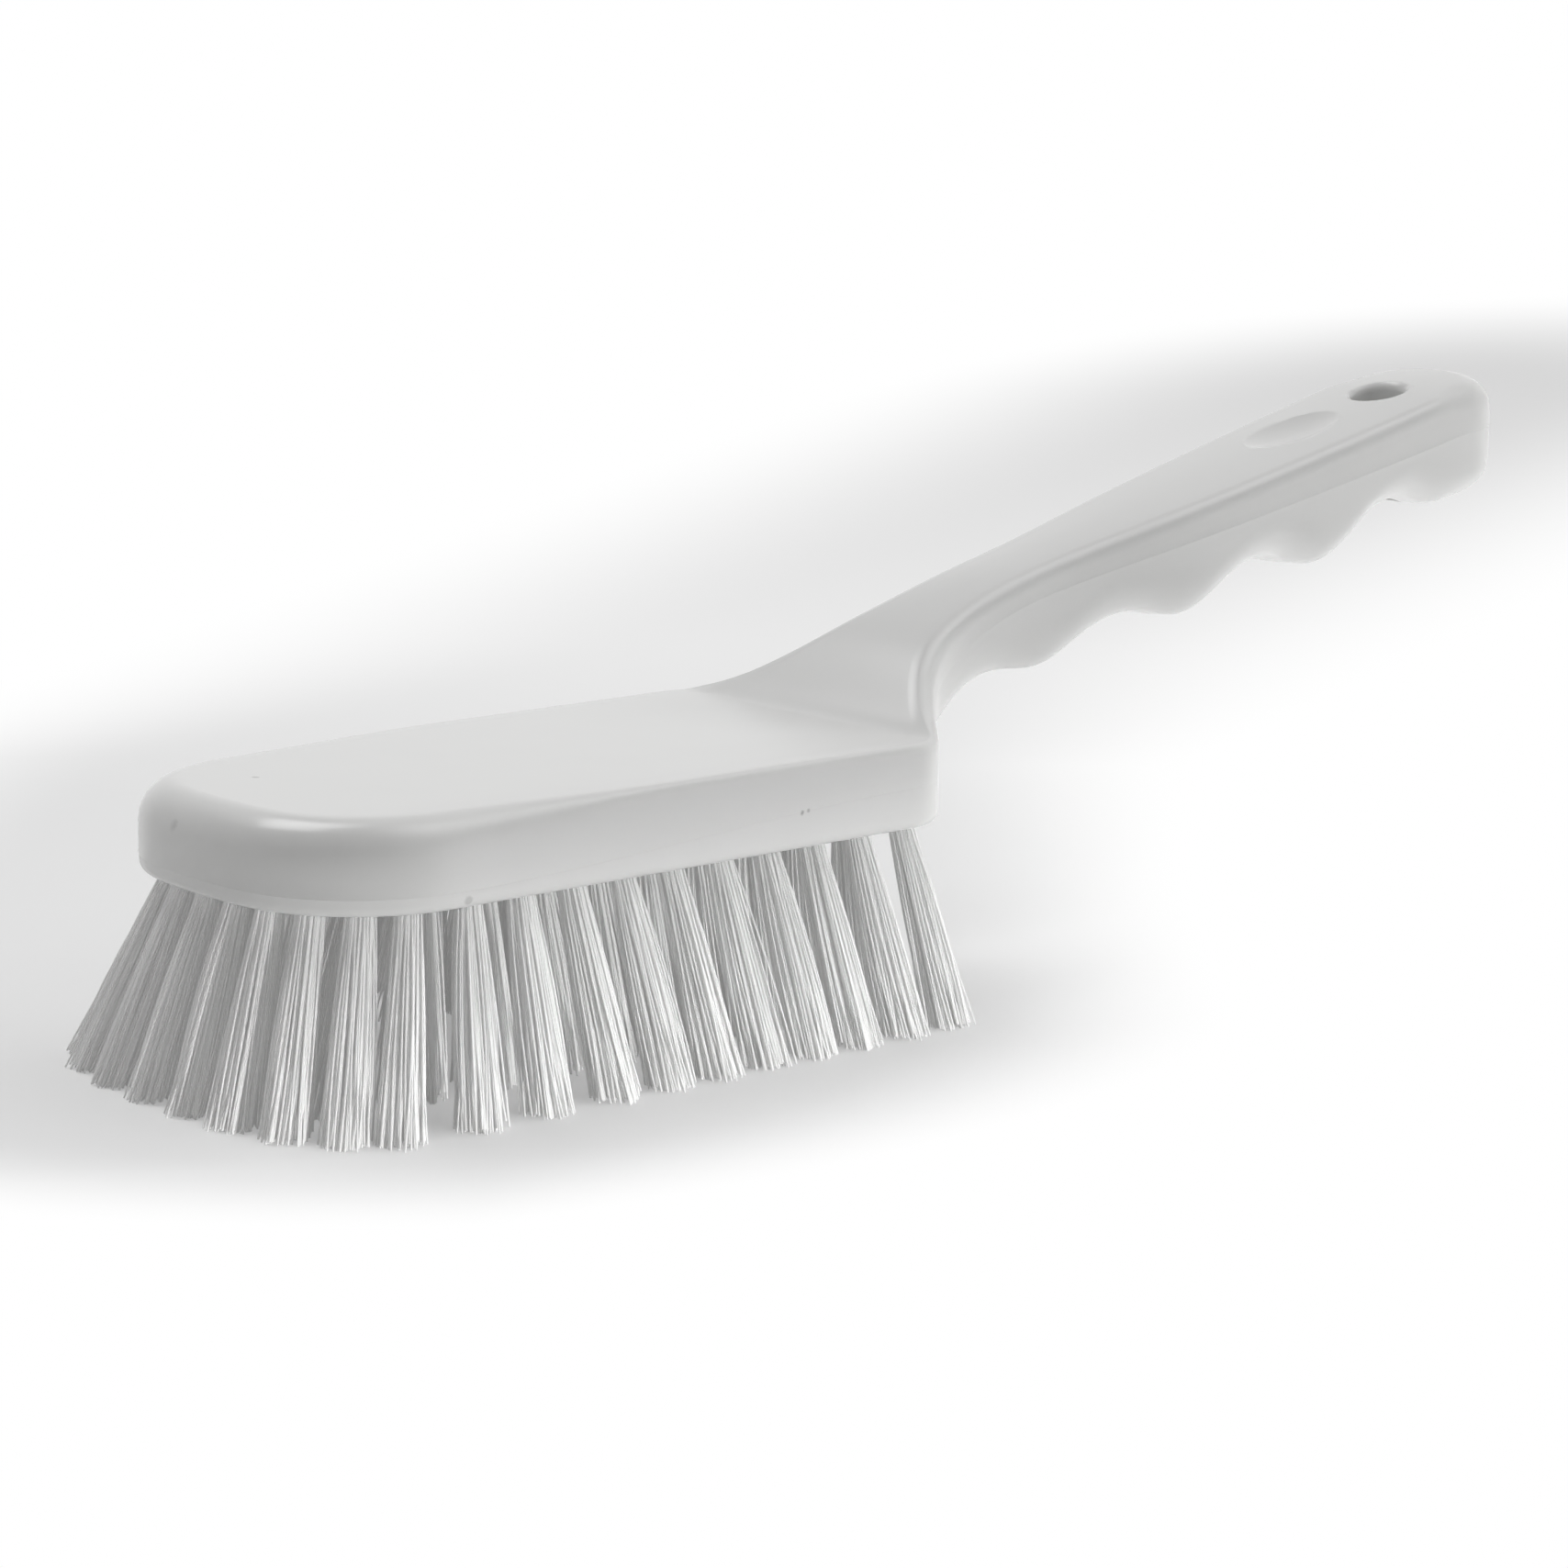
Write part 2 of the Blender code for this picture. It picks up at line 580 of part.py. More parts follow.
def cut(target, name, solids):
    """Take one or more separate solids out of the target, with sharp rims where they meet it."""
    points, faces = [], []
    for solid_points, solid_faces in solids:
        faces.extend([[len(points) + i for i in face] for face in solid_faces])
        points.extend(solid_points)
    tool = build_object(name, points, faces, target.data.materials[0])
    modifier = target.modifiers.new(name, "BOOLEAN")
    modifier.operation = "DIFFERENCE"
    modifier.solver = "EXACT"
    modifier.object = tool
    graph = bpy.context.evaluated_depsgraph_get()
    result = bpy.data.meshes.new_from_object(target.evaluated_get(graph))
    target.modifiers.clear()
    target.data = result
    finish_shading(result)
    bpy.data.objects.remove(tool, do_unlink=True)


def finish_shading(mesh):
    """Smooth shading, with a sharp edge where faces meet at more than 35 degrees."""
    mesh.shade_smooth()
    mesh.set_sharp_from_angle(angle=math.radians(35))


def tuft_holes(places):
    """Blind holes that lean with their tufts and fit them with the clearance all round."""
    radius = TUFT_DIAMETER / 2 + TUFT_CLEARANCE / math.cos(math.pi / TUFT_SIDES)
    levels = (TRIM - CUTTER_REACH, TRIM + TUFT_HOLE_DEPTH)
    return [prism([tuft_section(x, y, level, radius) for level in levels]) for _, x, y in places]


def hanging_hole():
    """Round hole through the handle near its end, with a softened lip in the top face."""
    top = float(top_height(HOLE_X)) + TOP_CROWN
    bottom = float(underside(HOLE_X)) - UNDER_CROWN
    radius = HOLE_DIAMETER / 2
    turn = np.arange(HOLE_SIDES) * 2 * np.pi / HOLE_SIDES
    tilt = math.tan(HANDLE_SLOPE)
    profile = (
        (bottom - CUTTER_REACH, radius),
        (top - HOLE_LIP * 1.4, radius),
        (top - HOLE_LIP * 0.7, radius + HOLE_LIP * 0.2),
        (top - HOLE_LIP * 0.2, radius + HOLE_LIP * 0.6),
        (top + HOLE_LIP * 0.1, radius + HOLE_LIP * 1.2),
        (top + CUTTER_REACH, radius + HOLE_LIP * 2),
    )
    sections = []
    for height, reach in profile:
        x, y = HOLE_X + reach * np.cos(turn), reach * np.sin(turn)
        sections.append(np.column_stack([x, y, height + tilt * (x - HOLE_X)]))
    return prism(sections)


def thumb_dish():
    """Shallow oval dish in the top of the grip: the cap of an ellipsoid."""
    tilt = math.tan(HANDLE_SLOPE)
    surface = float(top_height(DISH_X)) + TOP_CROWN
    height = DISH_DEPTH * 3
    flare = 1 / math.sqrt(1 - (1 - DISH_DEPTH / height) ** 2)
    turn = np.arange(HOLE_SIDES) * 2 * np.pi / HOLE_SIDES
    sections = []
    for rise in np.linspace(-0.999, 0.999, 13):
        angle = math.asin(rise)
        reach = math.cos(angle) * flare
        x = DISH_X + DISH_LENGTH / 2 * reach * np.cos(turn)
        y = DISH_WIDTH / 2 * reach * np.sin(turn)
        level = surface - DISH_DEPTH + height * (1 + math.sin(angle))
        sections.append(np.column_stack([x, y, level + tilt * (x - DISH_X)]))
    return prism(sections)


for old in list(bpy.data.objects):
    bpy.data.objects.remove(old, do_unlink=True)

CARRIER = bpy.data.objects.new("brush", None)
bpy.context.scene.collection.objects.link(CARRIER)

WHITE_POLYPROPYLENE = plastic("white_polypropylene", (0.80, 0.80, 0.79), 0.28)
WHITE_FILAMENT = plastic("white_filament", (0.78, 0.78, 0.76), 0.42)

PLACES = tuft_places()
stock = build_object("stock", *join_rings(stock_rings()), WHITE_POLYPROPYLENE)
cut(stock, "tuft_holes", tuft_holes(PLACES))
cut(stock, "hanging_hole", [hanging_hole()])
cut(stock, "thumb_dish", [thumb_dish()])
tufts = [tuft(name, x, y, WHITE_FILAMENT) for name, x, y in PLACES]

foremost = min(vertex.co.x for piece in tufts for vertex in piece.data.vertices)
CARRIER.location.x = -(foremost + HANDLE_END) / 2
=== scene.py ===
"""White hand brush: one moulded stock with a finger-grip handle, and 59 tufts of fine filament.

Sizes are in metres. X runs from the nose of the block to the end of the handle, and Z up from the
floor.
"""

import math

import bpy
import numpy as np
from mathutils import Matrix, Vector


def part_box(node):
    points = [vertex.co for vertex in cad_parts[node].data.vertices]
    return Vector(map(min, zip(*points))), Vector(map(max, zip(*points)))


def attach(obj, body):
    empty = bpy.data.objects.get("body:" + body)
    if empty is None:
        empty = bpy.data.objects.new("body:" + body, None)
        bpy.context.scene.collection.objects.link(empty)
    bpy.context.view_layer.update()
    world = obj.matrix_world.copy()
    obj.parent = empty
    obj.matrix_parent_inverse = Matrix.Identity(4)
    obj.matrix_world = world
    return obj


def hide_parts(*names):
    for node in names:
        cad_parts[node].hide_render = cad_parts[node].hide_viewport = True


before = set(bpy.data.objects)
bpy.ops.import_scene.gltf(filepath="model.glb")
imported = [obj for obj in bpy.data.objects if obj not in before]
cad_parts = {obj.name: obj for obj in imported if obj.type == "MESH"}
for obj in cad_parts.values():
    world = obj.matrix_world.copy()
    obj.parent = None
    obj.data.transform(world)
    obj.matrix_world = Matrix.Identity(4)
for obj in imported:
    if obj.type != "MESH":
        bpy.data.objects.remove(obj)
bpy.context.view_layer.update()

# Block
HEAD_LENGTH = 0.111
HEAD_WIDTH = 0.057
HEAD_THICKNESS = 0.0122
NOSE_RADIUS = 0.094
NOSE_CORNER_RADIUS = 0.021
HEEL_CORNER_RADIUS = 0.009
NOSE_RIM_ROUND = 0.0055
HEEL_RIM_ROUND = 0.0013
RIM_ROUND_FADES_AT = 0.062
BASE_EDGE_ROUND = 0.0015
HEEL_FILLET = 0.0024

# Shoulder and neck
SHOULDER_TURN = math.radians(50)
SHOULDER_STRAIGHT = 0.009
SHOULDER_PULL = 0.028
NECK_PULL = 0.060

# Handle, measured back from the heel of the block
HANDLE_LENGTH = 0.139
WAIST_BEHIND_HEEL = 0.035
WAIST_WIDTH = 0.0168
GRIP_WIDTH = 0.0268
GRIP_WIDTH_POINTS = ((0.026, 0.0022), (0.052, 0.0040))
SWEEP_START = 0.006
SWEEP_POINTS = ((0.001, 0.0038), (0.009, 0.0095), (0.017, 0.0131))
WAIST_RISE = 0.0184
HANDLE_SLOPE = math.radians(13.5)
END_DROOP = 0.0014
END_DROOP_LENGTH = 0.020
END_ROUND = 0.012
END_SQUARENESS = 2.4
HANDLE_RIM_ROUND = 0.0028
END_RIM_ROUND = 0.0050
TOP_CROWN = 0.0008

# Underside of the neck and grip
WEB_DROP = 0.0024
WEB_START_SLOPE = 0.05
WEB_POINTS = ((0.010, -0.0019), (0.017, 0.0010))
FIRST_GROOVE = 0.0229
GROOVE_PITCH = 0.0293
GROOVE_COUNT = 4
FIRST_GROOVE_DEPTH = 0.0024
LAST_GROOVE_DEPTH = 0.0062
GROOVE_SKEW = 0.2
END_LIFT = 0.0023
NECK_DEPTH = 0.0129
GRIP_DEPTH = 0.0167
UNDER_ROUND_HEIGHT = 0.0062
UNDER_ROUND_SHARE = 0.55
UNDER_ROUND_MOST_OF_WALL = 0.6
UNDER_CROWN = 0.0012

# Parting line of the mould. The two least values are shares of the wall that stay clear of it.
SEAM_SHARE_NOSE = 0.20
SEAM_SHARE_BLOCK = 0.50
SEAM_DEPTH_WAIST = 0.0046
SEAM_DEPTH_END = 0.0078
SEAM_LEAST_BELOW = 0.12
SEAM_LEAST_ABOVE = 0.2
SEAM_DRAFT = 0.00014
SEAM_DRAFT_FULL_AT = 0.003
SEAM_RIDGE = 0.00006
SEAM_HALF_WIDTH = 0.00014

# Hanging hole and thumb dish
HOLE_FROM_END = 0.0192
HOLE_DIAMETER = 0.0086
HOLE_LIP = 0.0012
LIP_ROUND = HOLE_LIP * 1.3
LIP_ROUND_SUNK = 0.96
LIP_TURN = math.radians(80)
LIP_FLARE = HOLE_LIP * 3
DISH_FROM_HOLE = 0.0208
DISH_LENGTH = 0.019
DISH_WIDTH = 0.0115
DISH_DEPTH = 0.0011
DISH_BALL_HEIGHT = DISH_DEPTH * 3

# Tufts and their filaments
TRIM = 0.0274
TUFT_DIAMETER = 0.0039
TUFT_TIP_DIAMETER = 0.0068
INNER_TIP_DIAMETER = 0.0096
TUFT_HOLE_DEPTH = 0.0065
TUFT_CLEARANCE = 0.0003
EDGE_MARGIN = 0.0050
HEEL_MARGIN = 0.0077
SIDE_ROW_OFFSET = 0.0053
SHOULDER_GAP = 0.0092
TUFTS_PER_SIDE = 10
TUFTS_ROUND_HALF_NOSE = 5
INNER_ROW_INSET = 0.0185
TUFTS_PER_INNER_ROW = 10
MIDDLE_ROW_INSET = 0.0155
TUFTS_IN_MIDDLE_ROW = 9
SIDE_LEAN = 0.0107
NOSE_LEAN = 0.0093
NOSE_LEAN_FULL_TO = 0.0175
NOSE_LEAN_ENDS_AT = 0.046
FILAMENTS_PER_TUFT = 170
FILAMENT_THICKNESS = 0.00029
FILAMENT_IN_HOLE = 0.0030

# How filaments stray from an even bundle
GOLDEN_TURN = 2.39996
TUFT_SPIN = 1.7
TURN_STRAY = 0.25
SPREAD_STRAY = 0.12
TIP_STRAY = 0.00045
SHORTEST_TIP = 0.0009
BOW = 0.0005
STRAY_SEED = 7

# Mesh density, cutters and shading
NOSE_FRONT_STEPS = 10
NOSE_CORNER_STEPS = 26
SIDE_STEPS = 26
HEEL_CORNER_STEPS = 8
HEEL_RUNG_STEPS = 4
NECK_STEPS = 34
GRIP_STATIONS = 130
END_STEPS = 22
RIM_STEPS = 8
UNDER_STEPS = 7
FILLET_STEPS = 6
TOP_STRIPS = 16
UNDER_STRIPS = 16
HOLE_SIDES = 64
LIP_STEPS = 8
DISH_RINGS = 41
DISH_RINGS_REACH = 0.999
TUFT_HOLE_SIDES = 20
FILAMENT_POINTS = 7
FILAMENT_SIDES = 5
CUTTER_REACH = 0.004
SLOPE_STEP = 1e-4
SHARP_ANGLE = math.radians(35)

# Places that follow from the sizes
HALF_WIDTH = HEAD_WIDTH / 2
BLOCK_TOP = TRIM + HEAD_THICKNESS
WEB_UNDERSIDE = BLOCK_TOP - WEB_DROP
HANDLE_END = HEAD_LENGTH + HANDLE_LENGTH
WAIST_X = HEAD_LENGTH + WAIST_BEHIND_HEEL
FIRST_GROOVE_X = HEAD_LENGTH + FIRST_GROOVE
END_START = HANDLE_END - END_ROUND
HOLE_X = HANDLE_END - HOLE_FROM_END
SHOULDER_X = HEAD_LENGTH - HEEL_CORNER_RADIUS * (1 - math.sin(SHOULDER_TURN))
WEB_START_X = SHOULDER_X + SHOULDER_STRAIGHT * math.cos(SHOULDER_TURN)
DISH_X = HOLE_X - DISH_FROM_HOLE
NOSE_TO_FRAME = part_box("stock")[1][0] - HANDLE_END

# White plastic, and its specks and marks: place from the nose, size and depth of tone
PLASTIC_PALE = (0.82, 0.82, 0.812, 1)
PLASTIC_DULL = (0.785, 0.785, 0.776, 1)
PLASTIC_ROUGHNESS = 0.22
PLASTIC_ROUGHER_BY = 0.08
PLASTIC_IOR = 1.49
PLASTIC_WAVES = {"Strength": 0.10, "Distance": 0.00004}
PLASTIC_WAVE_HEIGHT = 6
DIRT = (0.22, 0.215, 0.21, 1)
SPECK_RAGGEDNESS = 2.4
SPECKS = (
    (0.0165, 0.0100, BLOCK_TOP, 0.00062, 0.40),
    (0.1130, 0.0056, 0.0436, 0.00046, 0.60),
    (0.1142, 0.0048, 0.0446, 0.00028, 0.50),
    (0.1084, -0.0103, 0.0414, 0.00052, 0.50),
    (0.0800, -HALF_WIDTH, 0.0328, 0.00050, 0.65),
    (0.0812, -HALF_WIDTH, 0.0329, 0.00034, 0.45),
    (0.0011, 0.0050, 0.0357, 0.00110, 0.22),
    (0.0232, -HALF_WIDTH, 0.0286, 0.00070, 0.30),
)

# White filament
FILAMENT_PALE = (0.91, 0.91, 0.905, 1)
FILAMENT_DULL = (0.85, 0.85, 0.845, 1)
FILAMENT_ROUGHNESS = 0.45
FILAMENT_IOR = 1.45
# Painted light: a faint glow that lifts the filaments' shade
FILAMENT_PAINTED_GLOW = 0.05

# Studio. The shaded patch of the floor is measured across the camera's view and away from it.
# Its fade is in shares of the way to its edge, and turns softer and weaker behind the brush.
WHITE = (1, 1, 1, 1)
SOFT_LIGHT = 0.15
FLOOR_RADIUS = 4.0
FLOOR_SIDES = 96
FLOOR_GREY = (0.90, 0.90, 0.90, 1)
FLOOR_ROUGHNESS = 0.9
FLOOR_CENTRE_X = 0.055 + NOSE_TO_FRAME
VIEW_COS = 0.75
VIEW_SIN = 0.6617
PATCH_HALF_WIDTH = 0.113
PATCH_WIDENS = 0.10
PATCH_WIDENS_FROM = 0.10
PATCH_MIDDLE = -0.019
PATCH_DRIFTS = 0.40
PATCH_DRIFTS_FROM = 0.20
PATCH_FRONT = -0.02
PATCH_FRONT_SLANT = 0.4
PATCH_FRONT_LENGTH = 0.068
PATCH_BACK = 0.85
PATCH_BACK_LENGTH = 0.5
PATCH_TURNS_SOFT = (0.12, 0.35)
PATCH_FADE = (0.62, 1.06)
PATCH_FADE_SOONER = 0.42
PATCH_STRENGTH = 0.74
PATCH_WEAKER = 0.31

# Camera, with its place measured from the nose
CAMERA_EYE = (-0.2887, -0.4427, 0.1469)
CAMERA_RIGHT = (0.7509, -0.6603, 0.0089)
CAMERA_AHEAD = (0.649, 0.7354, -0.1949)
CAMERA_CLIP_START = 0.01
FOCAL_PIXELS = 4500
PHOTO_PIXELS = 1708
SENSOR_WIDTH = 36.0


class Wire:
    """An output socket in a node tree. Sums on it add Math nodes to the tree."""

    def __init__(self, graph, socket):
        self.graph = graph
        self.socket = socket

    def maths(self, operation, *values):
        return self.graph.add("ShaderNodeMath", {"operation": operation}, dict(enumerate(values)))

    def __add__(self, other):
        return self.maths("ADD", self, other)

    def __sub__(self, other):
        return self.maths("SUBTRACT", self, other)

    def __mul__(self, other):
        return self.maths("MULTIPLY", self, other)

    def __truediv__(self, other):
        return self.maths("DIVIDE", self, other)

    def __pow__(self, other):
        return self.maths("POWER", self, other)

    def __rsub__(self, other):
        return self.maths("SUBTRACT", other, self)

    __radd__ = __add__

    def least(self, other):
        return self.maths("MINIMUM", self, other)

    def most(self, other):
        return self.maths("MAXIMUM", self, other)

    def out(self, name):
        """Another output of the node that this one comes from."""
        return Wire(self.graph, self.socket.node.outputs[name])


class Graph:
    """A node tree that nodes are added to by type, settings and socket values."""

    def __init__(self, tree):
        self.tree = tree

    def add(self, kind, settings=None, values=None, output=0):
        node = self.tree.nodes.new(kind)
        for name, value in (settings or {}).items():
            setattr(node, name, value)
        self.fill(node, values or {})
        return Wire(self, node.outputs[output]) if len(node.outputs) else node

    def fill(self, node, values):
        """Link or set a node's inputs, given by their name or number."""
        for key, value in values.items():
            socket = node.inputs[key]
            if isinstance(value, Wire):
                self.tree.links.new(value.socket, socket)
            else:
                socket.default_value = value


def smooth_line(points, start_slope, end_slope):
    """Clamped cubic spline through (x, value) points, as a function of an array or a number."""
    x, value = np.array(points, dtype=float).T
    step = np.diff(x)
    rise = np.diff(value) / step
    count = len(x)
    matrix = np.zeros((count, count))
    right = np.zeros(count)
    matrix[0, 0] = matrix[-1, -1] = 1.0
    right[0], right[-1] = start_slope, end_slope
    for i in range(1, count - 1):
        matrix[i, i - 1 : i + 2] = step[i], 2 * (step[i - 1] + step[i]), step[i - 1]
        right[i] = 3 * (step[i] * rise[i - 1] + step[i - 1] * rise[i])
    slope = np.linalg.solve(matrix, right)

    def line(at):
        at = np.clip(at, x[0], x[-1])
        i = np.clip(np.searchsorted(x, at) - 1, 0, count - 2)
        t = (at - x[i]) / step[i]
        bend_in = (1 + 2 * t) * (1 - t) ** 2 * value[i] + t * (1 - t) ** 2 * step[i] * slope[i]
        bend_out = t * t * (3 - 2 * t) * value[i + 1] - t * t * (1 - t) * step[i] * slope[i + 1]
        return bend_in + bend_out

    return line


def fade(at, start, end):
    """Smooth change from 0 at start to 1 at end."""
    t = np.clip((np.asarray(at, dtype=float) - start) / (end - start), 0, 1)
    return t * t * (3 - 2 * t)


SWEEP = smooth_line(
    ((-SWEEP_START, 0.0), *SWEEP_POINTS, (WAIST_BEHIND_HEEL, WAIST_RISE)),
    0.0,
    math.tan(HANDLE_SLOPE),
)


def top_height(x):
    """Height of the top face: flat on the block, swept up behind it, then straight."""
    beyond = np.maximum(x - WAIST_X, 0)
    droop = np.clip((x - (HANDLE_END - END_DROOP_LENGTH)) / END_DROOP_LENGTH, 0, 1) ** 2 * END_DROOP
    return BLOCK_TOP + SWEEP(x - HEAD_LENGTH) + beyond * math.tan(HANDLE_SLOPE) - droop


def grip_underside(x):
    """Underside of the grip: finger grooves as waves that deepen with the grip, up to the end."""
    behind = x - FIRST_GROOVE_X
    grown = np.minimum(behind / (END_START - FIRST_GROOVE_X), 1)
    depth = NECK_DEPTH + (GRIP_DEPTH - NECK_DEPTH) * grown
    reach = (FIRST_GROOVE_DEPTH + (LAST_GROOVE_DEPTH - FIRST_GROOVE_DEPTH) * grown) / 2
    turn = 2 * np.pi * np.clip(behind / GROOVE_PITCH, 0, GROOVE_COUNT - 0.5)
    wave = reach * np.cos(turn - GROOVE_SKEW * np.sin(turn))
    last_groove = FIRST_GROOVE_X + (GROOVE_COUNT - 1) * GROOVE_PITCH
    lift = END_LIFT * fade(x, last_groove, END_START)
    return top_height(x) - depth + wave + lift


def slope_at(line, x):
    """Slope of a line at a place, over a short step behind it."""
    return float(line(x + SLOPE_STEP) - line(x)) / SLOPE_STEP


WEB = smooth_line(
    (
        (WEB_START_X - HEAD_LENGTH, -WEB_DROP),
        *WEB_POINTS,
        (FIRST_GROOVE, float(grip_underside(FIRST_GROOVE_X)) - BLOCK_TOP),
    ),
    WEB_START_SLOPE,
    slope_at(grip_underside, FIRST_GROOVE_X),
)


def underside(x):
    """Underside behind the heel: hollow fillet, web of the neck, then the grip."""
    short = np.clip((WEB_START_X - x) / (WEB_START_X - SHOULDER_X), 0, 1)
    fillet = HEEL_FILLET * (1 - np.sqrt(1 - short**2))
    web = BLOCK_TOP + WEB(x - HEAD_LENGTH) - fillet
    return np.where(x < FIRST_GROOVE_X, web, grip_underside(x))


def arc(centre, radius, start, end, count):
    """Points on an arc. Angles are turned from the -X direction towards +Y."""
    turn = np.linspace(start, end, count + 1)
    return np.stack([centre[0] - radius * np.cos(turn), centre[1] + radius * np.sin(turn)], 1)


def nose_geometry(inset):
    """Centre of the nose corner and the turn at which the front arc meets it."""
    corner_y = HALF_WIDTH - NOSE_CORNER_RADIUS
    corner_x = NOSE_RADIUS - math.sqrt((NOSE_RADIUS - NOSE_CORNER_RADIUS) ** 2 - corner_y**2)
    turn = math.atan2(corner_y, NOSE_RADIUS - corner_x)
    return (corner_x, corner_y), turn, NOSE_RADIUS - inset, NOSE_CORNER_RADIUS - inset


def block_outline():
    """Half outline of the block, from the nose along the +Y side to where the shoulder leaves."""
    corner, turn, front_radius, corner_radius = nose_geometry(0.0)
    front = arc((NOSE_RADIUS, 0.0), front_radius, 0.0, turn, NOSE_FRONT_STEPS)
    shoulder = arc(corner, corner_radius, turn, math.pi / 2, NOSE_CORNER_STEPS)
    heel_centre = (HEAD_LENGTH - HEEL_CORNER_RADIUS, HALF_WIDTH - HEEL_CORNER_RADIUS)
    side_x = np.linspace(corner[0], heel_centre[0], SIDE_STEPS)[1:]
    side = np.stack([side_x, np.full(len(side_x), HALF_WIDTH)], 1)
    start, end = math.pi / 2, math.pi / 2 + SHOULDER_TURN
    heel = arc(heel_centre, HEEL_CORNER_RADIUS, start, end, HEEL_CORNER_STEPS)
    return np.concatenate([front, shoulder[1:], side, heel[1:]])


def fillet_turns():
    """Turns at which the hollow fillet between the heel and the web of the neck is stepped."""
    return np.linspace(0, np.pi / 2, FILLET_STEPS + 1)[1:]


def shoulder_outline(start):
    """Straight part of the shoulder, with close steps where the heel's fillet rises under it."""
    along = SHOULDER_STRAIGHT * (1 - np.cos(fillet_turns()))
    direction = np.array([math.cos(SHOULDER_TURN), -math.sin(SHOULDER_TURN)])
    return start + along[:, None] * direction


def neck_outline(start):
    """Concave curve from the shoulder to the waist of the neck."""
    waist = np.array([WAIST_X, WAIST_WIDTH / 2])
    leave = SHOULDER_PULL * np.array([math.cos(SHOULDER_TURN), -math.sin(SHOULDER_TURN)])
    arrive = NECK_PULL * np.array([1.0, 0.0])
    t = np.linspace(0, 1, NECK_STEPS)[1:, None]
    return (
        (1 + 2 * t) * (1 - t) ** 2 * start
        + t * (1 - t) ** 2 * leave
        + t * t * (3 - 2 * t) * waist
        - t * t * (1 - t) * arrive
    )


def grip_outline():
    """Half outline of the grip, from the waist to the tip of its rounded end."""
    widths = smooth_line(
        (
            (0.0, WAIST_WIDTH / 2),
            *((at, WAIST_WIDTH / 2 + more) for at, more in GRIP_WIDTH_POINTS),
            (END_START - WAIST_X, GRIP_WIDTH / 2),
        ),
        0.0,
        0.0,
    )
    x = np.linspace(WAIST_X, END_START, GRIP_STATIONS + 1)[1:]
    sides = np.stack([x, widths(x - WAIST_X)], 1)
    turn = np.linspace(0, np.pi / 2, END_STEPS)[1:]
    end_x = END_START + END_ROUND * np.sin(turn) ** (2 / END_SQUARENESS)
    end_y = GRIP_WIDTH / 2 * np.abs(np.cos(turn)) ** (2 / END_SQUARENESS)
    end_y[-1] = 0.0
    return np.concatenate([sides, np.stack([end_x, end_y], 1)])


def inward_normals(outline):
    """Unit normals that point into a half outline whose ends lie on the centre line."""
    before = np.vstack([outline[1] * (1, -1), outline[:-1]])
    after = np.vstack([outline[1:], outline[-2] * (1, -1)])
    along = after - before
    along /= np.linalg.norm(along, axis=1)[:, None]
    return np.stack([along[:, 1], -along[:, 0]], 1)


def quarter_round(count):
    """Insets and drops of a unit quarter round, as two arrays from its flat to its wall."""
    turn = np.linspace(0, np.pi / 2, count + 1)
    return 1 - np.sin(turn), 1 - np.cos(turn)


def rung(edge, crown, reference, strips):
    """Points across a face between an edge point and its mirror image, both left out."""
    across = edge[1] * np.linspace(1, -1, strips + 1)[1:-1]
    points = np.tile(edge, (len(across), 1))
    points[:, 1] = across
    points[:, 2] += crown * (edge[1] ** 2 - across**2) / reference**2
    return points


def reference_half_width(point):
    """Half width that a crown spans at a station; at the rounded end it stays that of the grip."""
    return max(point[1], WAIST_WIDTH / 2) if point[0] < END_START else GRIP_WIDTH / 2


def top_crown(x):
    """Rise of the handle's top face in its middle."""
    return TOP_CROWN * float(fade(x, HEAD_LENGTH, WAIST_X))


def under_crown(x):
    """Drop of the handle's underside in its middle."""
    return UNDER_CROWN * float(fade(x, WEB_START_X, FIRST_GROOVE_X))


def rim_round(x):
    """Radius of the round along the top edge: large at the nose, crisp at the heel, soft behind."""
    to_heel = HEEL_RIM_ROUND - NOSE_RIM_ROUND
    block = NOSE_RIM_ROUND + to_heel * fade(x, NOSE_CORNER_RADIUS / 2, RIM_ROUND_FADES_AT)
    handle = HANDLE_RIM_ROUND - HEEL_RIM_ROUND
    end = END_RIM_ROUND - HANDLE_RIM_ROUND
    behind = handle * fade(x, HEAD_LENGTH - HEEL_CORNER_RADIUS / 2, WEB_START_X)
    return float(block + behind + end * fade(x, HOLE_X, END_START))


def under_round(x):
    """Width and height of the round along the underside behind the heel."""
    grown = float(fade(x, WEB_START_X, FIRST_GROOVE_X))
    half_width = (WAIST_WIDTH + (GRIP_WIDTH - WAIST_WIDTH) * float(fade(x, WAIST_X, END_START))) / 2
    round_in = BASE_EDGE_ROUND + (UNDER_ROUND_SHARE * half_width - BASE_EDGE_ROUND) * grown
    round_up = BASE_EDGE_ROUND + (UNDER_ROUND_HEIGHT - BASE_EDGE_ROUND) * grown
    return round_in, round_up


def seam_height(x, base, top):
    """Height of the parting line: low on the nose, half way up at the heel, then along the top."""
    to_heel = float(fade(x, NOSE_CORNER_RADIUS, HEAD_LENGTH - HEEL_CORNER_RADIUS))
    share = SEAM_SHARE_NOSE + (SEAM_SHARE_BLOCK - SEAM_SHARE_NOSE) * to_heel
    on_block = base + share * (top - base)
    to_end = (x - WAIST_X) / (HANDLE_END - WAIST_X)
    on_handle = top - SEAM_DEPTH_WAIST - (SEAM_DEPTH_END - SEAM_DEPTH_WAIST) * to_end
    return on_block + (on_handle - on_block) * float(fade(x, HEAD_LENGTH, WAIST_X))


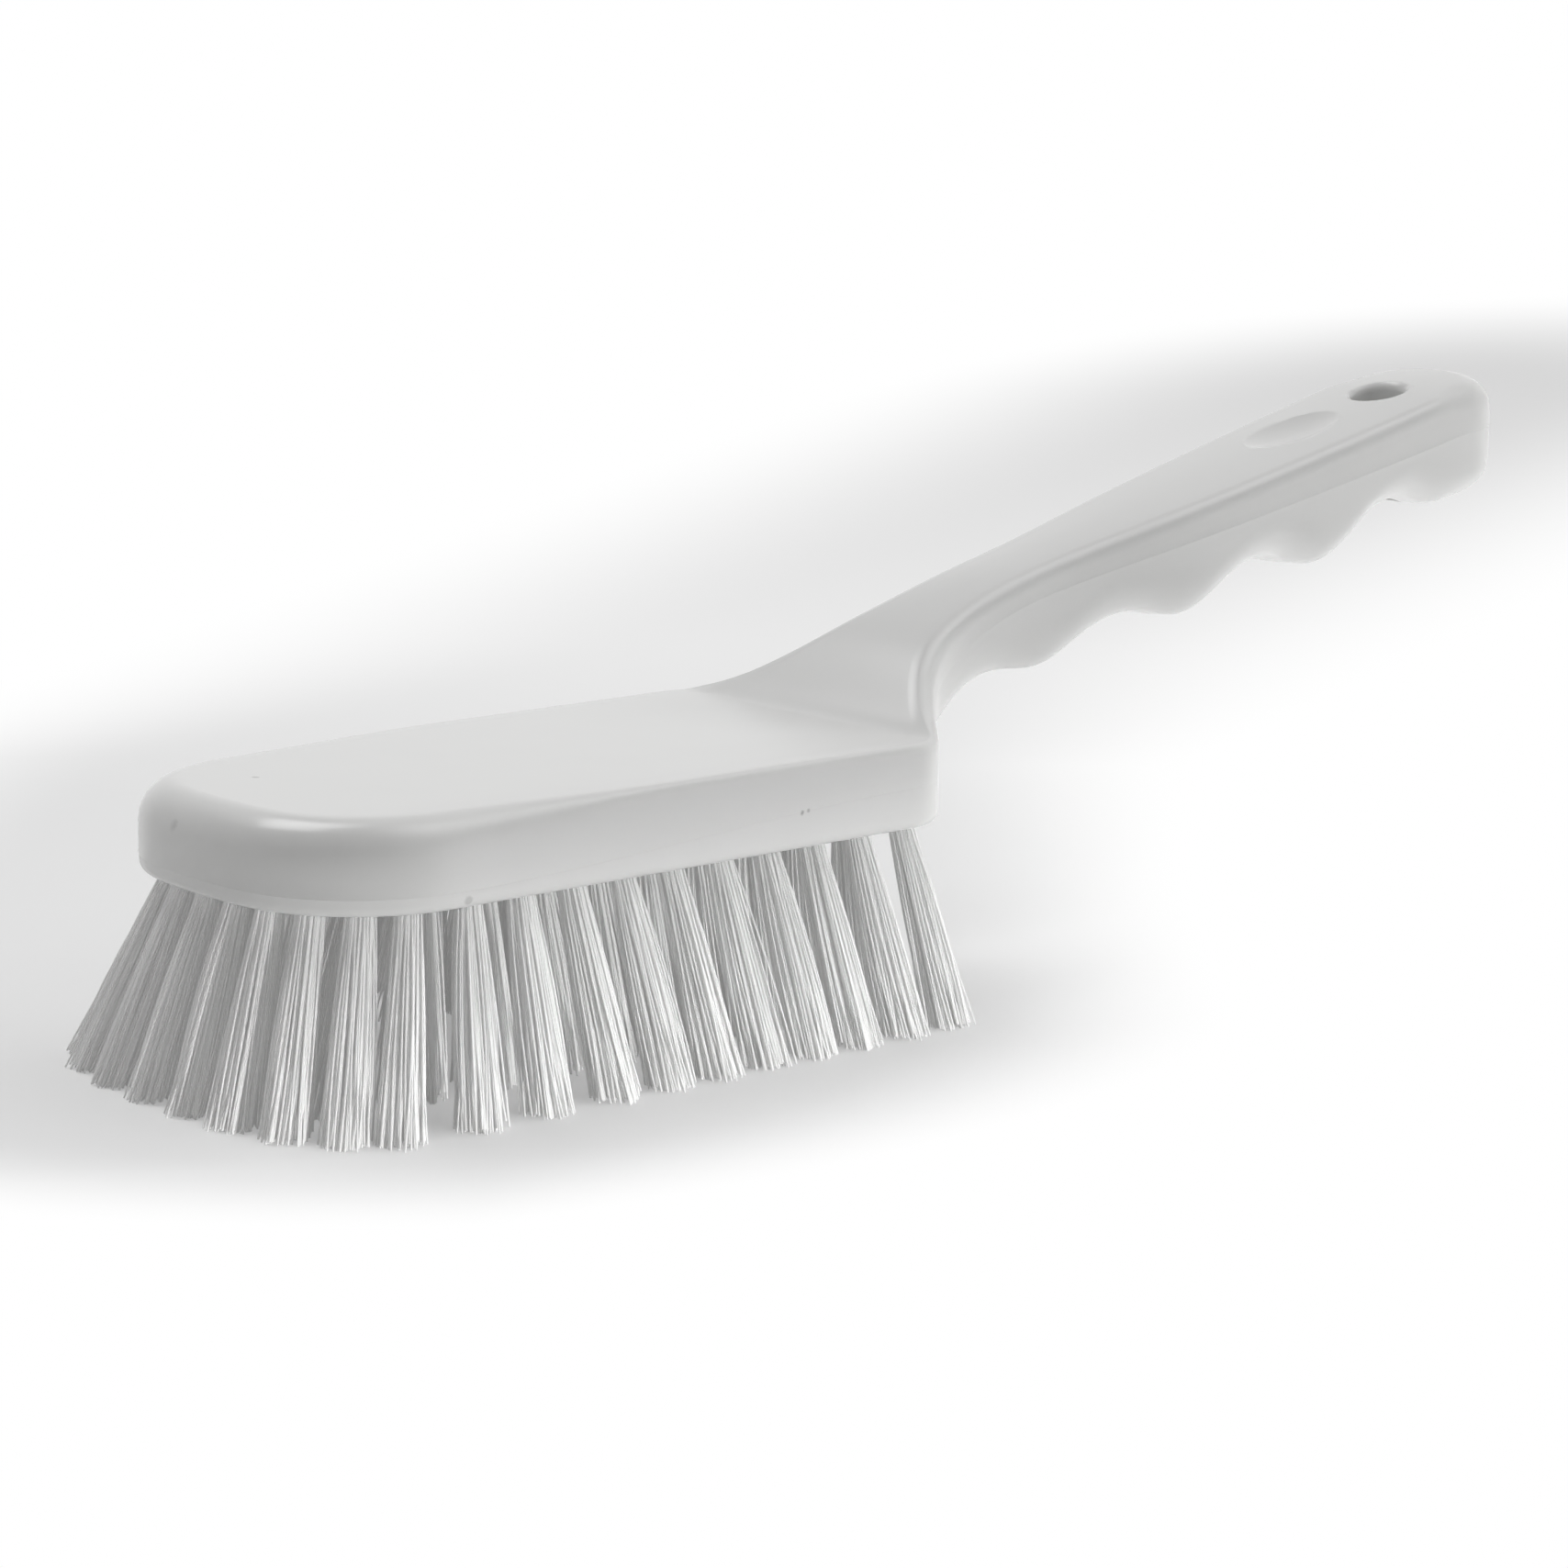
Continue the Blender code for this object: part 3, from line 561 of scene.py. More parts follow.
def seam_shown(x, block_end):
    """1 where the parting line stands out, 0 where the neck leaves the heel's corners."""
    on_block = 1 - fade(x, block_end - HEEL_CORNER_RADIUS, block_end)
    return float(on_block + fade(x, WEB_START_X, WAIST_X))


def wall_profile(point, normal, step):
    """Insets and heights of the rows down the wall at a station, counted in steps past the heel."""
    x, y = point
    under_block = step <= 0
    reference = reference_half_width(point)
    rim = rim_round(x)
    rim_x, rim_y = point + rim * normal
    top = float(top_height(rim_x)) + top_crown(rim_x) * (1 - (rim_y / reference) ** 2)
    if under_block:
        base, round_in, round_up = TRIM, BASE_EDGE_ROUND, BASE_EDGE_ROUND
    else:
        round_in, round_up = under_round(x)
        along = SHOULDER_STRAIGHT * (1 - math.cos(min(step / FILLET_STEPS, 1) * math.pi / 2))
        if step <= FILLET_STEPS:
            round_in = min(round_in, math.hypot(along, HEEL_CORNER_RADIUS) - HEEL_CORNER_RADIUS)
        low_x, low_y = (x, y) if step <= FILLET_STEPS else point + round_in * normal
        base = float(underside(low_x)) - under_crown(low_x) * (1 - (low_y / reference) ** 2)
        round_up = min(round_up, UNDER_ROUND_MOST_OF_WALL * (top - rim - base))
    low, high = base + round_up, top - rim
    seam = max(seam_height(x, base, top), low + SEAM_LEAST_BELOW * (high - low))
    seam = min(seam, high - SEAM_LEAST_ABOVE * (high - low))
    heel_line = (seam + high) / 2
    if under_block:
        heel_line = min(WEB_UNDERSIDE - HEEL_FILLET, heel_line)
    shown = seam_shown(x, HEAD_LENGTH - HEEL_CORNER_RADIUS)
    grown = min((seam - low) / SEAM_DRAFT_FULL_AT, 1)
    out = SEAM_DRAFT * shown * grown * (1 - float(fade(x, HEAD_LENGTH, WAIST_X)))
    ridge = out + SEAM_RIDGE * seam_shown(x, SHOULDER_X)
    heel_out = out * (high - heel_line) / (high - seam)
    rim_in, rim_down = quarter_round(RIM_STEPS)
    base_in, base_up = quarter_round(UNDER_STEPS)
    seam_rows = [seam + SEAM_HALF_WIDTH, seam, seam - SEAM_HALF_WIDTH]
    insets = [*(rim * rim_in), -heel_out, -out, -ridge, -out, *(round_in * base_in[::-1])]
    heights = [*(top - rim * rim_down), heel_line, *seam_rows, *(base + round_up * base_up[::-1])]
    return np.array(insets), np.array(heights)


def heel_rung(inset, height):
    """Points across the heel at one height, round its two corners, between the shoulders."""
    radius = HEEL_CORNER_RADIUS - inset
    centre = (HEAD_LENGTH - HEEL_CORNER_RADIUS, HALF_WIDTH - HEEL_CORNER_RADIUS)
    corner = arc(centre, radius, math.pi / 2 + SHOULDER_TURN, math.pi, HEEL_RUNG_STEPS)[1:]
    flat_share = np.linspace(1, 0, UNDER_STRIPS // 2 - HEEL_RUNG_STEPS + 1)[1:]
    flat = np.stack([np.full(len(flat_share), corner[-1][0]), corner[-1][1] * flat_share], 1)
    half = np.vstack([corner, flat])
    both = np.vstack([half, half[-2::-1] * (1, -1)])
    return np.column_stack([both, np.full(len(both), height)])


def web_start_rung(point, normal):
    """Points across the web where the fillet of the heel has ended."""
    insets, _ = wall_profile(point, normal, FILLET_STEPS)
    x, y = point + insets[-1] * normal
    return rung(np.array([x, y, 0.0]), 0.0, HALF_WIDTH, UNDER_STRIPS)[:, :2]


def closed_ring(near, across, top_row):
    """One ring: down the near wall, across below, up the far wall and back across the top."""
    return np.vstack([near, across, near[::-1] * (1, -1, 1), top_row])


def stock_rings():
    """Closed rings of points round the stock, one for each station from the nose to the end."""
    block = block_outline()
    shoulder = shoulder_outline(block[-1])
    outline = np.concatenate([block, shoulder, neck_outline(shoulder[-1]), grip_outline()])
    inward = inward_normals(outline)
    heel_station = len(block) - 1
    web_station = heel_station + FILLET_STEPS
    exit_rung = web_start_rung(outline[web_station], inward[web_station])
    rings = []
    for i, (point, normal) in enumerate(zip(outline, inward)):
        step = i - heel_station
        insets, heights = wall_profile(point, normal, step)
        near = np.column_stack([point + insets[:, None] * normal, heights])
        reference = reference_half_width(point)
        top_row = rung(near[0], top_crown(near[0][0]), reference, TOP_STRIPS)[::-1]
        below = rung(near[-1], -under_crown(near[-1][0]), reference, UNDER_STRIPS)
        if i < heel_station:
            rings.append(closed_ring(near, below, top_row))
        elif i == heel_station:
            for climbed in range(len(near) - RIM_STEPS - 1):
                level = len(near) - 1 - climbed
                rows = near[np.minimum(np.arange(len(near)), level)]
                rings.append(closed_ring(rows, heel_rung(insets[level], heights[level]), top_row))
            heel = rings[-1][len(near) : len(near) + UNDER_STRIPS - 1]
        else:
            if step < FILLET_STEPS:
                blend = 1 - math.cos(fillet_turns()[step - 1])
                below[:, :2] = heel[:, :2] + blend * (exit_rung - heel[:, :2])
            rings.append(closed_ring(near, below, top_row))
    return np.array(rings)


def join_rings(rings):
    """Faces between neighbouring closed rings, with coinciding points made one."""
    count, size = rings.shape[:2]
    points, index = np.unique(np.round(rings.reshape(-1, 3), 8), axis=0, return_inverse=True)
    index = index.reshape(count, size)
    faces = []
    for i in range(count - 1):
        for j in range(size):
            k = (j + 1) % size
            corners = [index[i, j], index[i, k], index[i + 1, k], index[i + 1, j]]
            face = [int(c) for n, c in enumerate(corners) if c not in corners[:n]]
            if len(face) > 2:
                faces.append(face[::-1])
    return points, faces


def prism(sections):
    """Points and faces of a closed solid through equal polygon sections."""
    size = len(sections[0])
    points = np.vstack(sections)
    faces = [list(range(size))[::-1], list(range(len(points) - size, len(points)))]
    for level in range(len(sections) - 1):
        for i in range(size):
            k = (i + 1) % size
            a, b = level * size, (level + 1) * size
            faces.append([a + k, b + k, b + i, a + i])
    return points, faces


def new_piece(name, points, faces):
    """Object at the origin from points that are measured from the nose of the block."""
    mesh = bpy.data.meshes.new(name)
    places = [(float(x) + NOSE_TO_FRAME, float(y), float(z)) for x, y, z in points]
    mesh.from_pydata(places, [], faces)
    mesh.validate()
    piece = bpy.data.objects.new(name, mesh)
    bpy.context.scene.collection.objects.link(piece)
    return piece


def finish_shading(mesh):
    """Smooth shading, with an edge left sharp where its faces meet at more than SHARP_ANGLE."""
    mesh.shade_smooth()
    mesh.set_sharp_from_angle(angle=SHARP_ANGLE)


def plain_mesh(piece):
    """Swap a piece's mesh for the result of its modifiers, and take these off."""
    graph = bpy.context.evaluated_depsgraph_get()
    result = bpy.data.meshes.new_from_object(piece.evaluated_get(graph))
    piece.modifiers.clear()
    piece.data = result


def cut(target, solids):
    """Take one or more separate solids out of the target."""
    points, faces = [], []
    for solid_points, solid_faces in solids:
        faces.extend([[len(points) + i for i in face] for face in solid_faces])
        points.extend(solid_points)
    tool = new_piece("cutter", points, faces)
    modifier = target.modifiers.new("cut", "BOOLEAN")
    modifier.operation = "DIFFERENCE"
    modifier.solver = "EXACT"
    modifier.object = tool
    plain_mesh(target)
    bpy.data.objects.remove(tool, do_unlink=True)


def nose_point(distance):
    """Point on the outer tuft ring, at a distance along it from the middle of the nose."""
    corner, turn, front_radius, corner_radius = nose_geometry(EDGE_MARGIN)
    front_length = front_radius * turn
    if distance < front_length:
        angle = distance / front_radius
        return NOSE_RADIUS - front_radius * math.cos(angle), front_radius * math.sin(angle)
    angle = min(turn + (distance - front_length) / corner_radius, math.pi / 2)
    straight = max(distance - front_length - corner_radius * (math.pi / 2 - turn), 0.0)
    x = corner[0] - corner_radius * math.cos(angle) + straight
    return x, corner[1] + corner_radius * math.sin(angle)


def tuft_places():
    """Name and root position of every tuft on the underside of the block."""
    corner, turn, front_radius, corner_radius = nose_geometry(EDGE_MARGIN)
    ring_y = HALF_WIDTH - EDGE_MARGIN
    last_x = HEAD_LENGTH - HEEL_MARGIN
    first_x = corner[0] + SIDE_ROW_OFFSET
    nose_length = front_radius * turn + corner_radius * (math.pi / 2 - turn) + SIDE_ROW_OFFSET
    nose_pitch = (nose_length - SHOULDER_GAP) / (TUFTS_ROUND_HALF_NOSE - 0.5)
    places = []
    for side, mark in ((-1, "near"), (1, "far")):
        for i in range(TUFTS_ROUND_HALF_NOSE):
            x, y = nose_point((i + 0.5) * nose_pitch)
            places.append((f"tuft_nose_{mark}_{i + 1:02d}", x, side * y))
        for i, x in enumerate(np.linspace(first_x, last_x, TUFTS_PER_SIDE)):
            places.append((f"tuft_outer_{mark}_{i + 1:02d}", float(x), side * ring_y))
        for i, x in enumerate(np.linspace(INNER_ROW_INSET, last_x, TUFTS_PER_INNER_ROW)):
            places.append((f"tuft_inner_{mark}_{i + 1:02d}", float(x), side * ring_y / 2))
    for i, x in enumerate(np.linspace(MIDDLE_ROW_INSET, last_x, TUFTS_IN_MIDDLE_ROW)):
        places.append((f"tuft_middle_{i + 1:02d}", float(x), 0.0))
    return places


def tuft_lean(x, y):
    """How far a tuft's tip lies from below its root: outwards, and forwards near the nose."""
    forward = (NOSE_LEAN_ENDS_AT - x) / (NOSE_LEAN_ENDS_AT - NOSE_LEAN_FULL_TO)
    outward = SIDE_LEAN * y / (HALF_WIDTH - EDGE_MARGIN)
    return np.array([-NOSE_LEAN * min(max(forward, 0.0), 1.0), outward])


def tuft_holes(places):
    """Blind holes that lean with their tufts."""
    turn = np.arange(TUFT_HOLE_SIDES) * 2 * np.pi / TUFT_HOLE_SIDES
    radius = TUFT_DIAMETER / 2 + TUFT_CLEARANCE
    solids = []
    for _, x, y in places:
        sections = []
        for height in (TRIM - CUTTER_REACH, TRIM + TUFT_HOLE_DEPTH):
            shift = tuft_lean(x, y) * (TRIM - height) / TRIM
            ring_x = x + shift[0] + radius * np.cos(turn)
            ring_y = y + shift[1] + radius * np.sin(turn)
            sections.append(np.column_stack([ring_x, ring_y, np.full(len(turn), height)]))
        solids.append(prism(sections))
    return solids


def hanging_hole():
    """Round hole through the handle near its end, with a softened lip in the top face."""
    top = float(top_height(HOLE_X)) + TOP_CROWN
    bottom = float(underside(HOLE_X)) - UNDER_CROWN
    radius = HOLE_DIAMETER / 2
    turn = np.arange(HOLE_SIDES) * 2 * np.pi / HOLE_SIDES
    tilt = math.tan(HANDLE_SLOPE)
    swing = np.linspace(0, LIP_TURN, LIP_STEPS + 1)
    lip_out = LIP_ROUND * (1 - np.cos(swing))
    lip_up = LIP_ROUND * (np.sin(swing) - LIP_ROUND_SUNK)
    profile = [(bottom - CUTTER_REACH, radius)]
    profile += [(top + up, radius + out) for out, up in zip(lip_out, lip_up)]
    profile.append((top + CUTTER_REACH, radius + LIP_FLARE))
    sections = []
    for height, reach in profile:
        x, y = HOLE_X + reach * np.cos(turn), reach * np.sin(turn)
        sections.append(np.column_stack([x, y, height + tilt * (x - HOLE_X)]))
    return prism(sections)


def thumb_dish():
    """Shallow oval dish in the top of the grip: the cap of an ellipsoid."""
    tilt = math.tan(HANDLE_SLOPE)
    surface = float(top_height(DISH_X)) + TOP_CROWN
    flare = 1 / math.sqrt(1 - (1 - DISH_DEPTH / DISH_BALL_HEIGHT) ** 2)
    turn = np.arange(HOLE_SIDES) * 2 * np.pi / HOLE_SIDES
    sections = []
    for rise in np.linspace(-DISH_RINGS_REACH, DISH_RINGS_REACH, DISH_RINGS):
        angle = math.asin(rise)
        reach = math.cos(angle) * flare
        x = DISH_X + DISH_LENGTH / 2 * reach * np.cos(turn)
        y = DISH_WIDTH / 2 * reach * np.sin(turn)
        level = surface - DISH_DEPTH + DISH_BALL_HEIGHT * (1 + math.sin(angle))
        sections.append(np.column_stack([x, y, level + tilt * (x - DISH_X)]))
    return prism(sections)


def filament_tree():
    """Geometry nodes that grow a leaning, slightly spread bundle of filaments on each tuft root."""
    tree = bpy.data.node_groups.new("filament_bundles", "GeometryNodeTree")
    sizes = {
        "Filaments": ("NodeSocketInt", FILAMENTS_PER_TUFT),
        "Thickness": ("NodeSocketFloat", FILAMENT_THICKNESS),
        "Root radius": ("NodeSocketFloat", (TUFT_DIAMETER - FILAMENT_THICKNESS) / 2),
        "Tip radius": ("NodeSocketFloat", (TUFT_TIP_DIAMETER - FILAMENT_THICKNESS) / 2),
        "Mouth height": ("NodeSocketFloat", TRIM),
        "Depth in hole": ("NodeSocketFloat", FILAMENT_IN_HOLE),
        "Seed": ("NodeSocketInt", STRAY_SEED),
    }
    face = tree.interface
    face.new_socket("Roots", in_out="INPUT", socket_type="NodeSocketGeometry")
    for name, (kind, value) in sizes.items():
        face.new_socket(name, in_out="INPUT", socket_type=kind).default_value = value
    face.new_socket("Finish", in_out="INPUT", socket_type="NodeSocketMaterial")
    face.new_socket("Bristles", in_out="OUTPUT", socket_type="NodeSocketGeometry")
    graph = Graph(tree)
    given = graph.add("NodeGroupInput")
    count, seed = given.out("Filaments"), given.out("Seed")
    mouth = given.out("Mouth height")

    def chance(low, high, salt):
        # The node's inputs 2, 3, 7 and 8 are the least and most of a decimal, its ID and its seed
        values = {2: low, 3: high, 7: graph.add("GeometryNodeInputIndex"), 8: seed + salt}
        return graph.add("FunctionNodeRandomValue", {"data_type": "FLOAT"}, values, output=1)

    def stray(most, salt):
        return chance(-most, most, salt)

    def stored(name, kind="FLOAT_VECTOR"):
        return graph.add("GeometryNodeInputNamedAttribute", {"data_type": kind}, {"Name": name})

    def apart(vector):
        split = graph.add("ShaderNodeSeparateXYZ", None, {0: vector})
        return split, split.out("Y"), split.out("Z")

    def together(x, y, z):
        return graph.add("ShaderNodeCombineXYZ", None, {0: x, 1: y, 2: z})

    def store(geometry, name, value, kind="FLOAT_VECTOR"):
        settings = {"data_type": kind, "domain": "POINT"}
        values = {"Geometry": geometry, "Name": name, "Value": value}
        return graph.add("GeometryNodeStoreNamedAttribute", settings, values)

    roots = {"Geometry": given, "Amount": count}
    copies = graph.add("GeometryNodeDuplicateElements", {"domain": "POINT"}, roots)
    number = copies.out("Duplicate Index")
    out = ((number + 0.5) / count) ** 0.5
    turn = number * GOLDEN_TURN + stored("spin", "FLOAT") + stray(TURN_STRAY, 1)
    across, along = turn.maths("COSINE", turn) * out, turn.maths("SINE", turn) * out
    x, y, _ = apart(graph.add("GeometryNodeInputPosition"))
    lean_x, lean_y, _ = apart(stored("lean"))
    root_radius, tip_radius = given.out("Root radius"), given.out("Tip radius")
    spread = chance(1 - SPREAD_STRAY, 1 + SPREAD_STRAY, 2)
    root = together(x + across * root_radius, y + along * root_radius, mouth)
    tip_x = x + lean_x + across * tip_radius * spread + stray(TIP_STRAY, 3)
    tip_y = y + lean_y + along * tip_radius * spread + stray(TIP_STRAY, 4)
    short = chance(0.0, 1.0, 5) ** 3.0 * SHORTEST_TIP
    points = store(copies, "root", root)
    points = store(points, "tip", together(tip_x, tip_y, short))
    points = store(points, "bow", together(stray(BOW, 6), stray(BOW, 7), 0.0))
    points = store(points, "tone", chance(0.0, 1.0, 8), "FLOAT")
    line = graph.add("GeometryNodeCurvePrimitiveLine")
    line = graph.add("GeometryNodeResampleCurve", None, {"Curve": line, "Count": FILAMENT_POINTS})
    strands = graph.add("GeometryNodeInstanceOnPoints", None, {"Points": points, "Instance": line})
    strands = graph.add("GeometryNodeRealizeInstances", None, {"Geometry": strands})
    t = graph.add("GeometryNodeSplineParameter")
    root_x, root_y, _ = apart(stored("root"))
    tip_x, tip_y, tip_z = apart(stored("tip"))
    bow_x, bow_y, _ = apart(stored("bow"))
    start = mouth + given.out("Depth in hole")
    height = start + (tip_z - start) * t
    down = 1 - height / mouth
    sag = (down * (1 - down) * 4).most(0.0)
    place = together(
        root_x + (tip_x - root_x) * down + bow_x * sag,
        root_y + (tip_y - root_y) * down + bow_y * sag,
        height,
    )
    strands = graph.add("GeometryNodeSetPosition", None, {"Geometry": strands, "Position": place})
    circle = {"Resolution": FILAMENT_SIDES, "Radius": given.out("Thickness") / 2}
    section = graph.add("GeometryNodeCurvePrimitiveCircle", {"mode": "RADIUS"}, circle)
    tubes = {"Curve": strands, "Profile Curve": section, "Fill Caps": True}
    mesh = graph.add("GeometryNodeCurveToMesh", None, tubes)
    mesh = graph.add("GeometryNodeSetShadeSmooth", None, {"Geometry": mesh})
    for name in ("root", "tip", "bow", "lean", "spin"):
        mesh = graph.add("GeometryNodeRemoveAttribute", None, {"Geometry": mesh, "Name": name})
    mesh = graph.add("GeometryNodeRealizeInstances", None, {"Geometry": mesh})
    finished = {"Geometry": mesh, "Material": given.out("Finish")}
    mesh = graph.add("GeometryNodeSetMaterial", None, finished)
    graph.add("NodeGroupOutput", None, {"Bristles": mesh})
    return tree


def bristles(name, places, tree, finish, tip_diameter):
    """One piece with the filaments of several tufts, in place of their CAD nodes."""
    piece = new_piece(name, [(x, y, TRIM) for _, x, y in places], [])
    leans = np.array([[*tuft_lean(x, y), 0.0] for _, x, y in places])
    spins = np.array([(i * TUFT_SPIN) % (2 * math.pi) for i in range(len(places))])
    own = piece.data.attributes
    own.new("lean", "FLOAT_VECTOR", "POINT").data.foreach_set("vector", leans.ravel())
    own.new("spin", "FLOAT", "POINT").data.foreach_set("value", spins)
    modifier = piece.modifiers.new("bundles", "NODES")
    modifier.node_group = tree
    sockets = [item for item in tree.interface.items_tree if item.in_out == "INPUT"]
    inputs = {socket.name: socket.identifier for socket in sockets}
    modifier[inputs["Finish"]] = finish
    modifier[inputs["Tip radius"]] = (tip_diameter - FILAMENT_THICKNESS) / 2
    plain_mesh(piece)
    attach(piece, "root")
    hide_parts(*(node for node, _, _ in places))


def surface(name):
    """New material: its graph, its shader and its output node."""
    material = bpy.data.materials.new(name)
    material.use_nodes = True
    tree = material.node_tree
    return material, Graph(tree), tree.nodes["Principled BSDF"], tree.nodes["Material Output"]


def mixed(graph, share, first, second):
    """Colour that goes from the first to the second with a share from 0 to 1."""
    # The node's inputs 6 and 7 and its output 2 are the ones for colours
    values = {0: share, 6: first, 7: second}
    return graph.add("ShaderNodeMix", {"data_type": "RGBA"}, values, output=2)


def noise(graph, place, scale, detail):
    """Cloudy change over a surface, around 0.5."""
    values = {"Vector": place, "Scale": scale, "Detail": detail}
    return graph.add("ShaderNodeTexNoise", None, values)


def distance(graph, place, centre):
    """Distance from a fixed point."""
    values = {0: place, 1: centre}
    return graph.add("ShaderNodeVectorMath", {"operation": "DISTANCE"}, values, output="Value")


def moulded_plastic():
    """White polypropylene: glossy, faintly uneven from the mould, with a few dark specks."""
    material, graph, shader, _ = surface("glossy_white_polypropylene")
    place = graph.add("ShaderNodeTexCoord", None, None, output="Object")
    broad = noise(graph, place, scale=30.0, detail=2.0)
    fine = noise(graph, place, scale=420.0, detail=3.0)
    specks = None
    for x, y, z, size, depth in SPECKS:
        away = distance(graph, place, (x + NOSE_TO_FRAME, y, z))
        ragged = away + (fine - 0.5) * (size * SPECK_RAGGEDNESS)
        speck = (1 - ragged / size).most(0.0).least(0.5) * (2 * depth)
        specks = speck if specks is None else specks.most(speck)
    tint = mixed(graph, broad, PLASTIC_DULL, PLASTIC_PALE)
    waves = {**PLASTIC_WAVES, "Height": broad * PLASTIC_WAVE_HEIGHT}
    changing = {
        "Base Color": mixed(graph, specks, tint, DIRT),
        "Roughness": PLASTIC_ROUGHNESS + broad * PLASTIC_ROUGHER_BY,
        "Normal": graph.add("ShaderNodeBump", None, waves),
    }
    graph.fill(shader, {**changing, "IOR": PLASTIC_IOR})
    return material


def filament_plastic():
    """White filament: satin, with its own tone from one filament to the next.

    The faint glow is painted light. It stands for the light that real white filaments let through,
    and it lifts the shade deep in a bundle too.
    """
    material, graph, shader, _ = surface("satin_white_filament")
    tone = graph.add("ShaderNodeAttribute", {"attribute_name": "tone"}, None, output="Fac")
    colour = mixed(graph, tone, FILAMENT_DULL, FILAMENT_PALE)
    gloss = {"Roughness": FILAMENT_ROUGHNESS, "IOR": FILAMENT_IOR}
    # Painted light: the filaments glow faintly, lifting the shade deep in the bundles
    glow = {"Emission Color": WHITE, "Emission Strength": FILAMENT_PAINTED_GLOW}
    graph.fill(shader, {"Base Color": colour, **gloss, **glow})
    return material


def smooth_step(graph, value, start, end):
    """Smooth change from 0 at start to 1 at end."""
    settings = {"interpolation_type": "SMOOTHSTEP"}
    return graph.add("ShaderNodeMapRange", settings, {0: value, 1: start, 2: end})


def seen_directly(graph):
    """1 for what the camera or a reflection sees, and 0 for light that falls on the brush."""
    rays = graph.add("ShaderNodeLightPath")
    return rays.most(rays.out("Is Glossy Ray")).most(rays.out("Is Transmission Ray"))


def studio_floor():
    """Pale floor that keeps the brush's shadow and fades to a white ground away from it."""
    material, graph, shader, output = surface("pale_floor")
    place = graph.add("ShaderNodeTexCoord", None, None, output="Object")
    x = graph.add("ShaderNodeSeparateXYZ", None, {0: place})
    y = x.out("Y")
    side = (x - FLOOR_CENTRE_X) * VIEW_COS - y * VIEW_SIN
    back = (x - FLOOR_CENTRE_X) * VIEW_SIN + y * VIEW_COS
    middle = (back - PATCH_DRIFTS_FROM).most(0.0) * PATCH_DRIFTS + PATCH_MIDDLE
    reach = (back - PATCH_WIDENS_FROM).most(0.0) * PATCH_WIDENS + PATCH_HALF_WIDTH
    slant = (side * PATCH_FRONT_SLANT).most(0.0)
    front = (slant - back + PATCH_FRONT).most(0.0) / PATCH_FRONT_LENGTH
    far = (back - PATCH_BACK).most(0.0) / PATCH_BACK_LENGTH
    away = (((side - middle) / reach) ** 2.0 + front**2.0 + far**2.0) ** 0.5
    behind = smooth_step(graph, back, *PATCH_TURNS_SOFT)
    fade_start, fade_end = PATCH_FADE
    edge = smooth_step(graph, away, fade_start - behind * PATCH_FADE_SOONER, fade_end)
    whiter = 1 - (1 - edge) * (PATCH_STRENGTH - behind * PATCH_WEAKER)
    graph.fill(shader, {"Base Color": FLOOR_GREY, "Roughness": FLOOR_ROUGHNESS})
    lit = graph.add("ShaderNodeEmission", None, {"Color": WHITE, "Strength": 1.0})
    layers = {0: whiter * seen_directly(graph), 1: Wire(graph, shader.outputs[0]), 2: lit}
    graph.fill(output, {"Surface": graph.add("ShaderNodeMixShader", None, layers)})
    return material


def white_surround():
    """World: plain soft light on the brush, and white where the camera or a reflection sees it."""
    world = bpy.data.worlds.new("white_surround")
    bpy.context.scene.world = world
    world.use_nodes = True
    graph = Graph(world.node_tree)
    strength = SOFT_LIGHT + seen_directly(graph) * (1 - SOFT_LIGHT)
    background = world.node_tree.nodes["Background"]
    graph.fill(background, {"Color": WHITE, "Strength": strength})


def lamp(name, place, target, size, power, spread=180, mirrored=True):
    """Softbox that faces a point, with a grid that keeps its light within a spread."""
    light = bpy.data.lights.new(name, "AREA")
    light.energy = power
    light.shape = "RECTANGLE"
    light.size, light.size_y = size
    light.spread = math.radians(spread)
    thing = bpy.data.objects.new(name, light)
    thing.location = place
    thing.rotation_euler = (Vector(target) - Vector(place)).to_track_quat("-Z", "Y").to_euler()
    thing.visible_camera = False
    thing.visible_glossy = mirrored
    bpy.context.scene.collection.objects.link(thing)


def photo_camera():
    """Camera at the photograph's viewing angle and distance."""
    right = Vector(CAMERA_RIGHT).normalized()
    ahead = Vector(CAMERA_AHEAD).normalized()
    up = right.cross(ahead).normalized()
    eye = Vector(CAMERA_EYE) + Vector((NOSE_TO_FRAME, 0.0, 0.0))
    data = bpy.data.cameras.new("photo_camera")
    data.sensor_width = SENSOR_WIDTH
    data.lens = FOCAL_PIXELS * SENSOR_WIDTH / PHOTO_PIXELS
    data.clip_start = CAMERA_CLIP_START
    camera = bpy.data.objects.new("photo_camera", data)
    axes = Matrix((right, up, -ahead)).transposed().to_4x4()
    camera.matrix_world = Matrix.Translation(eye) @ axes
    bpy.context.scene.collection.objects.link(camera)
    bpy.context.scene.camera = camera


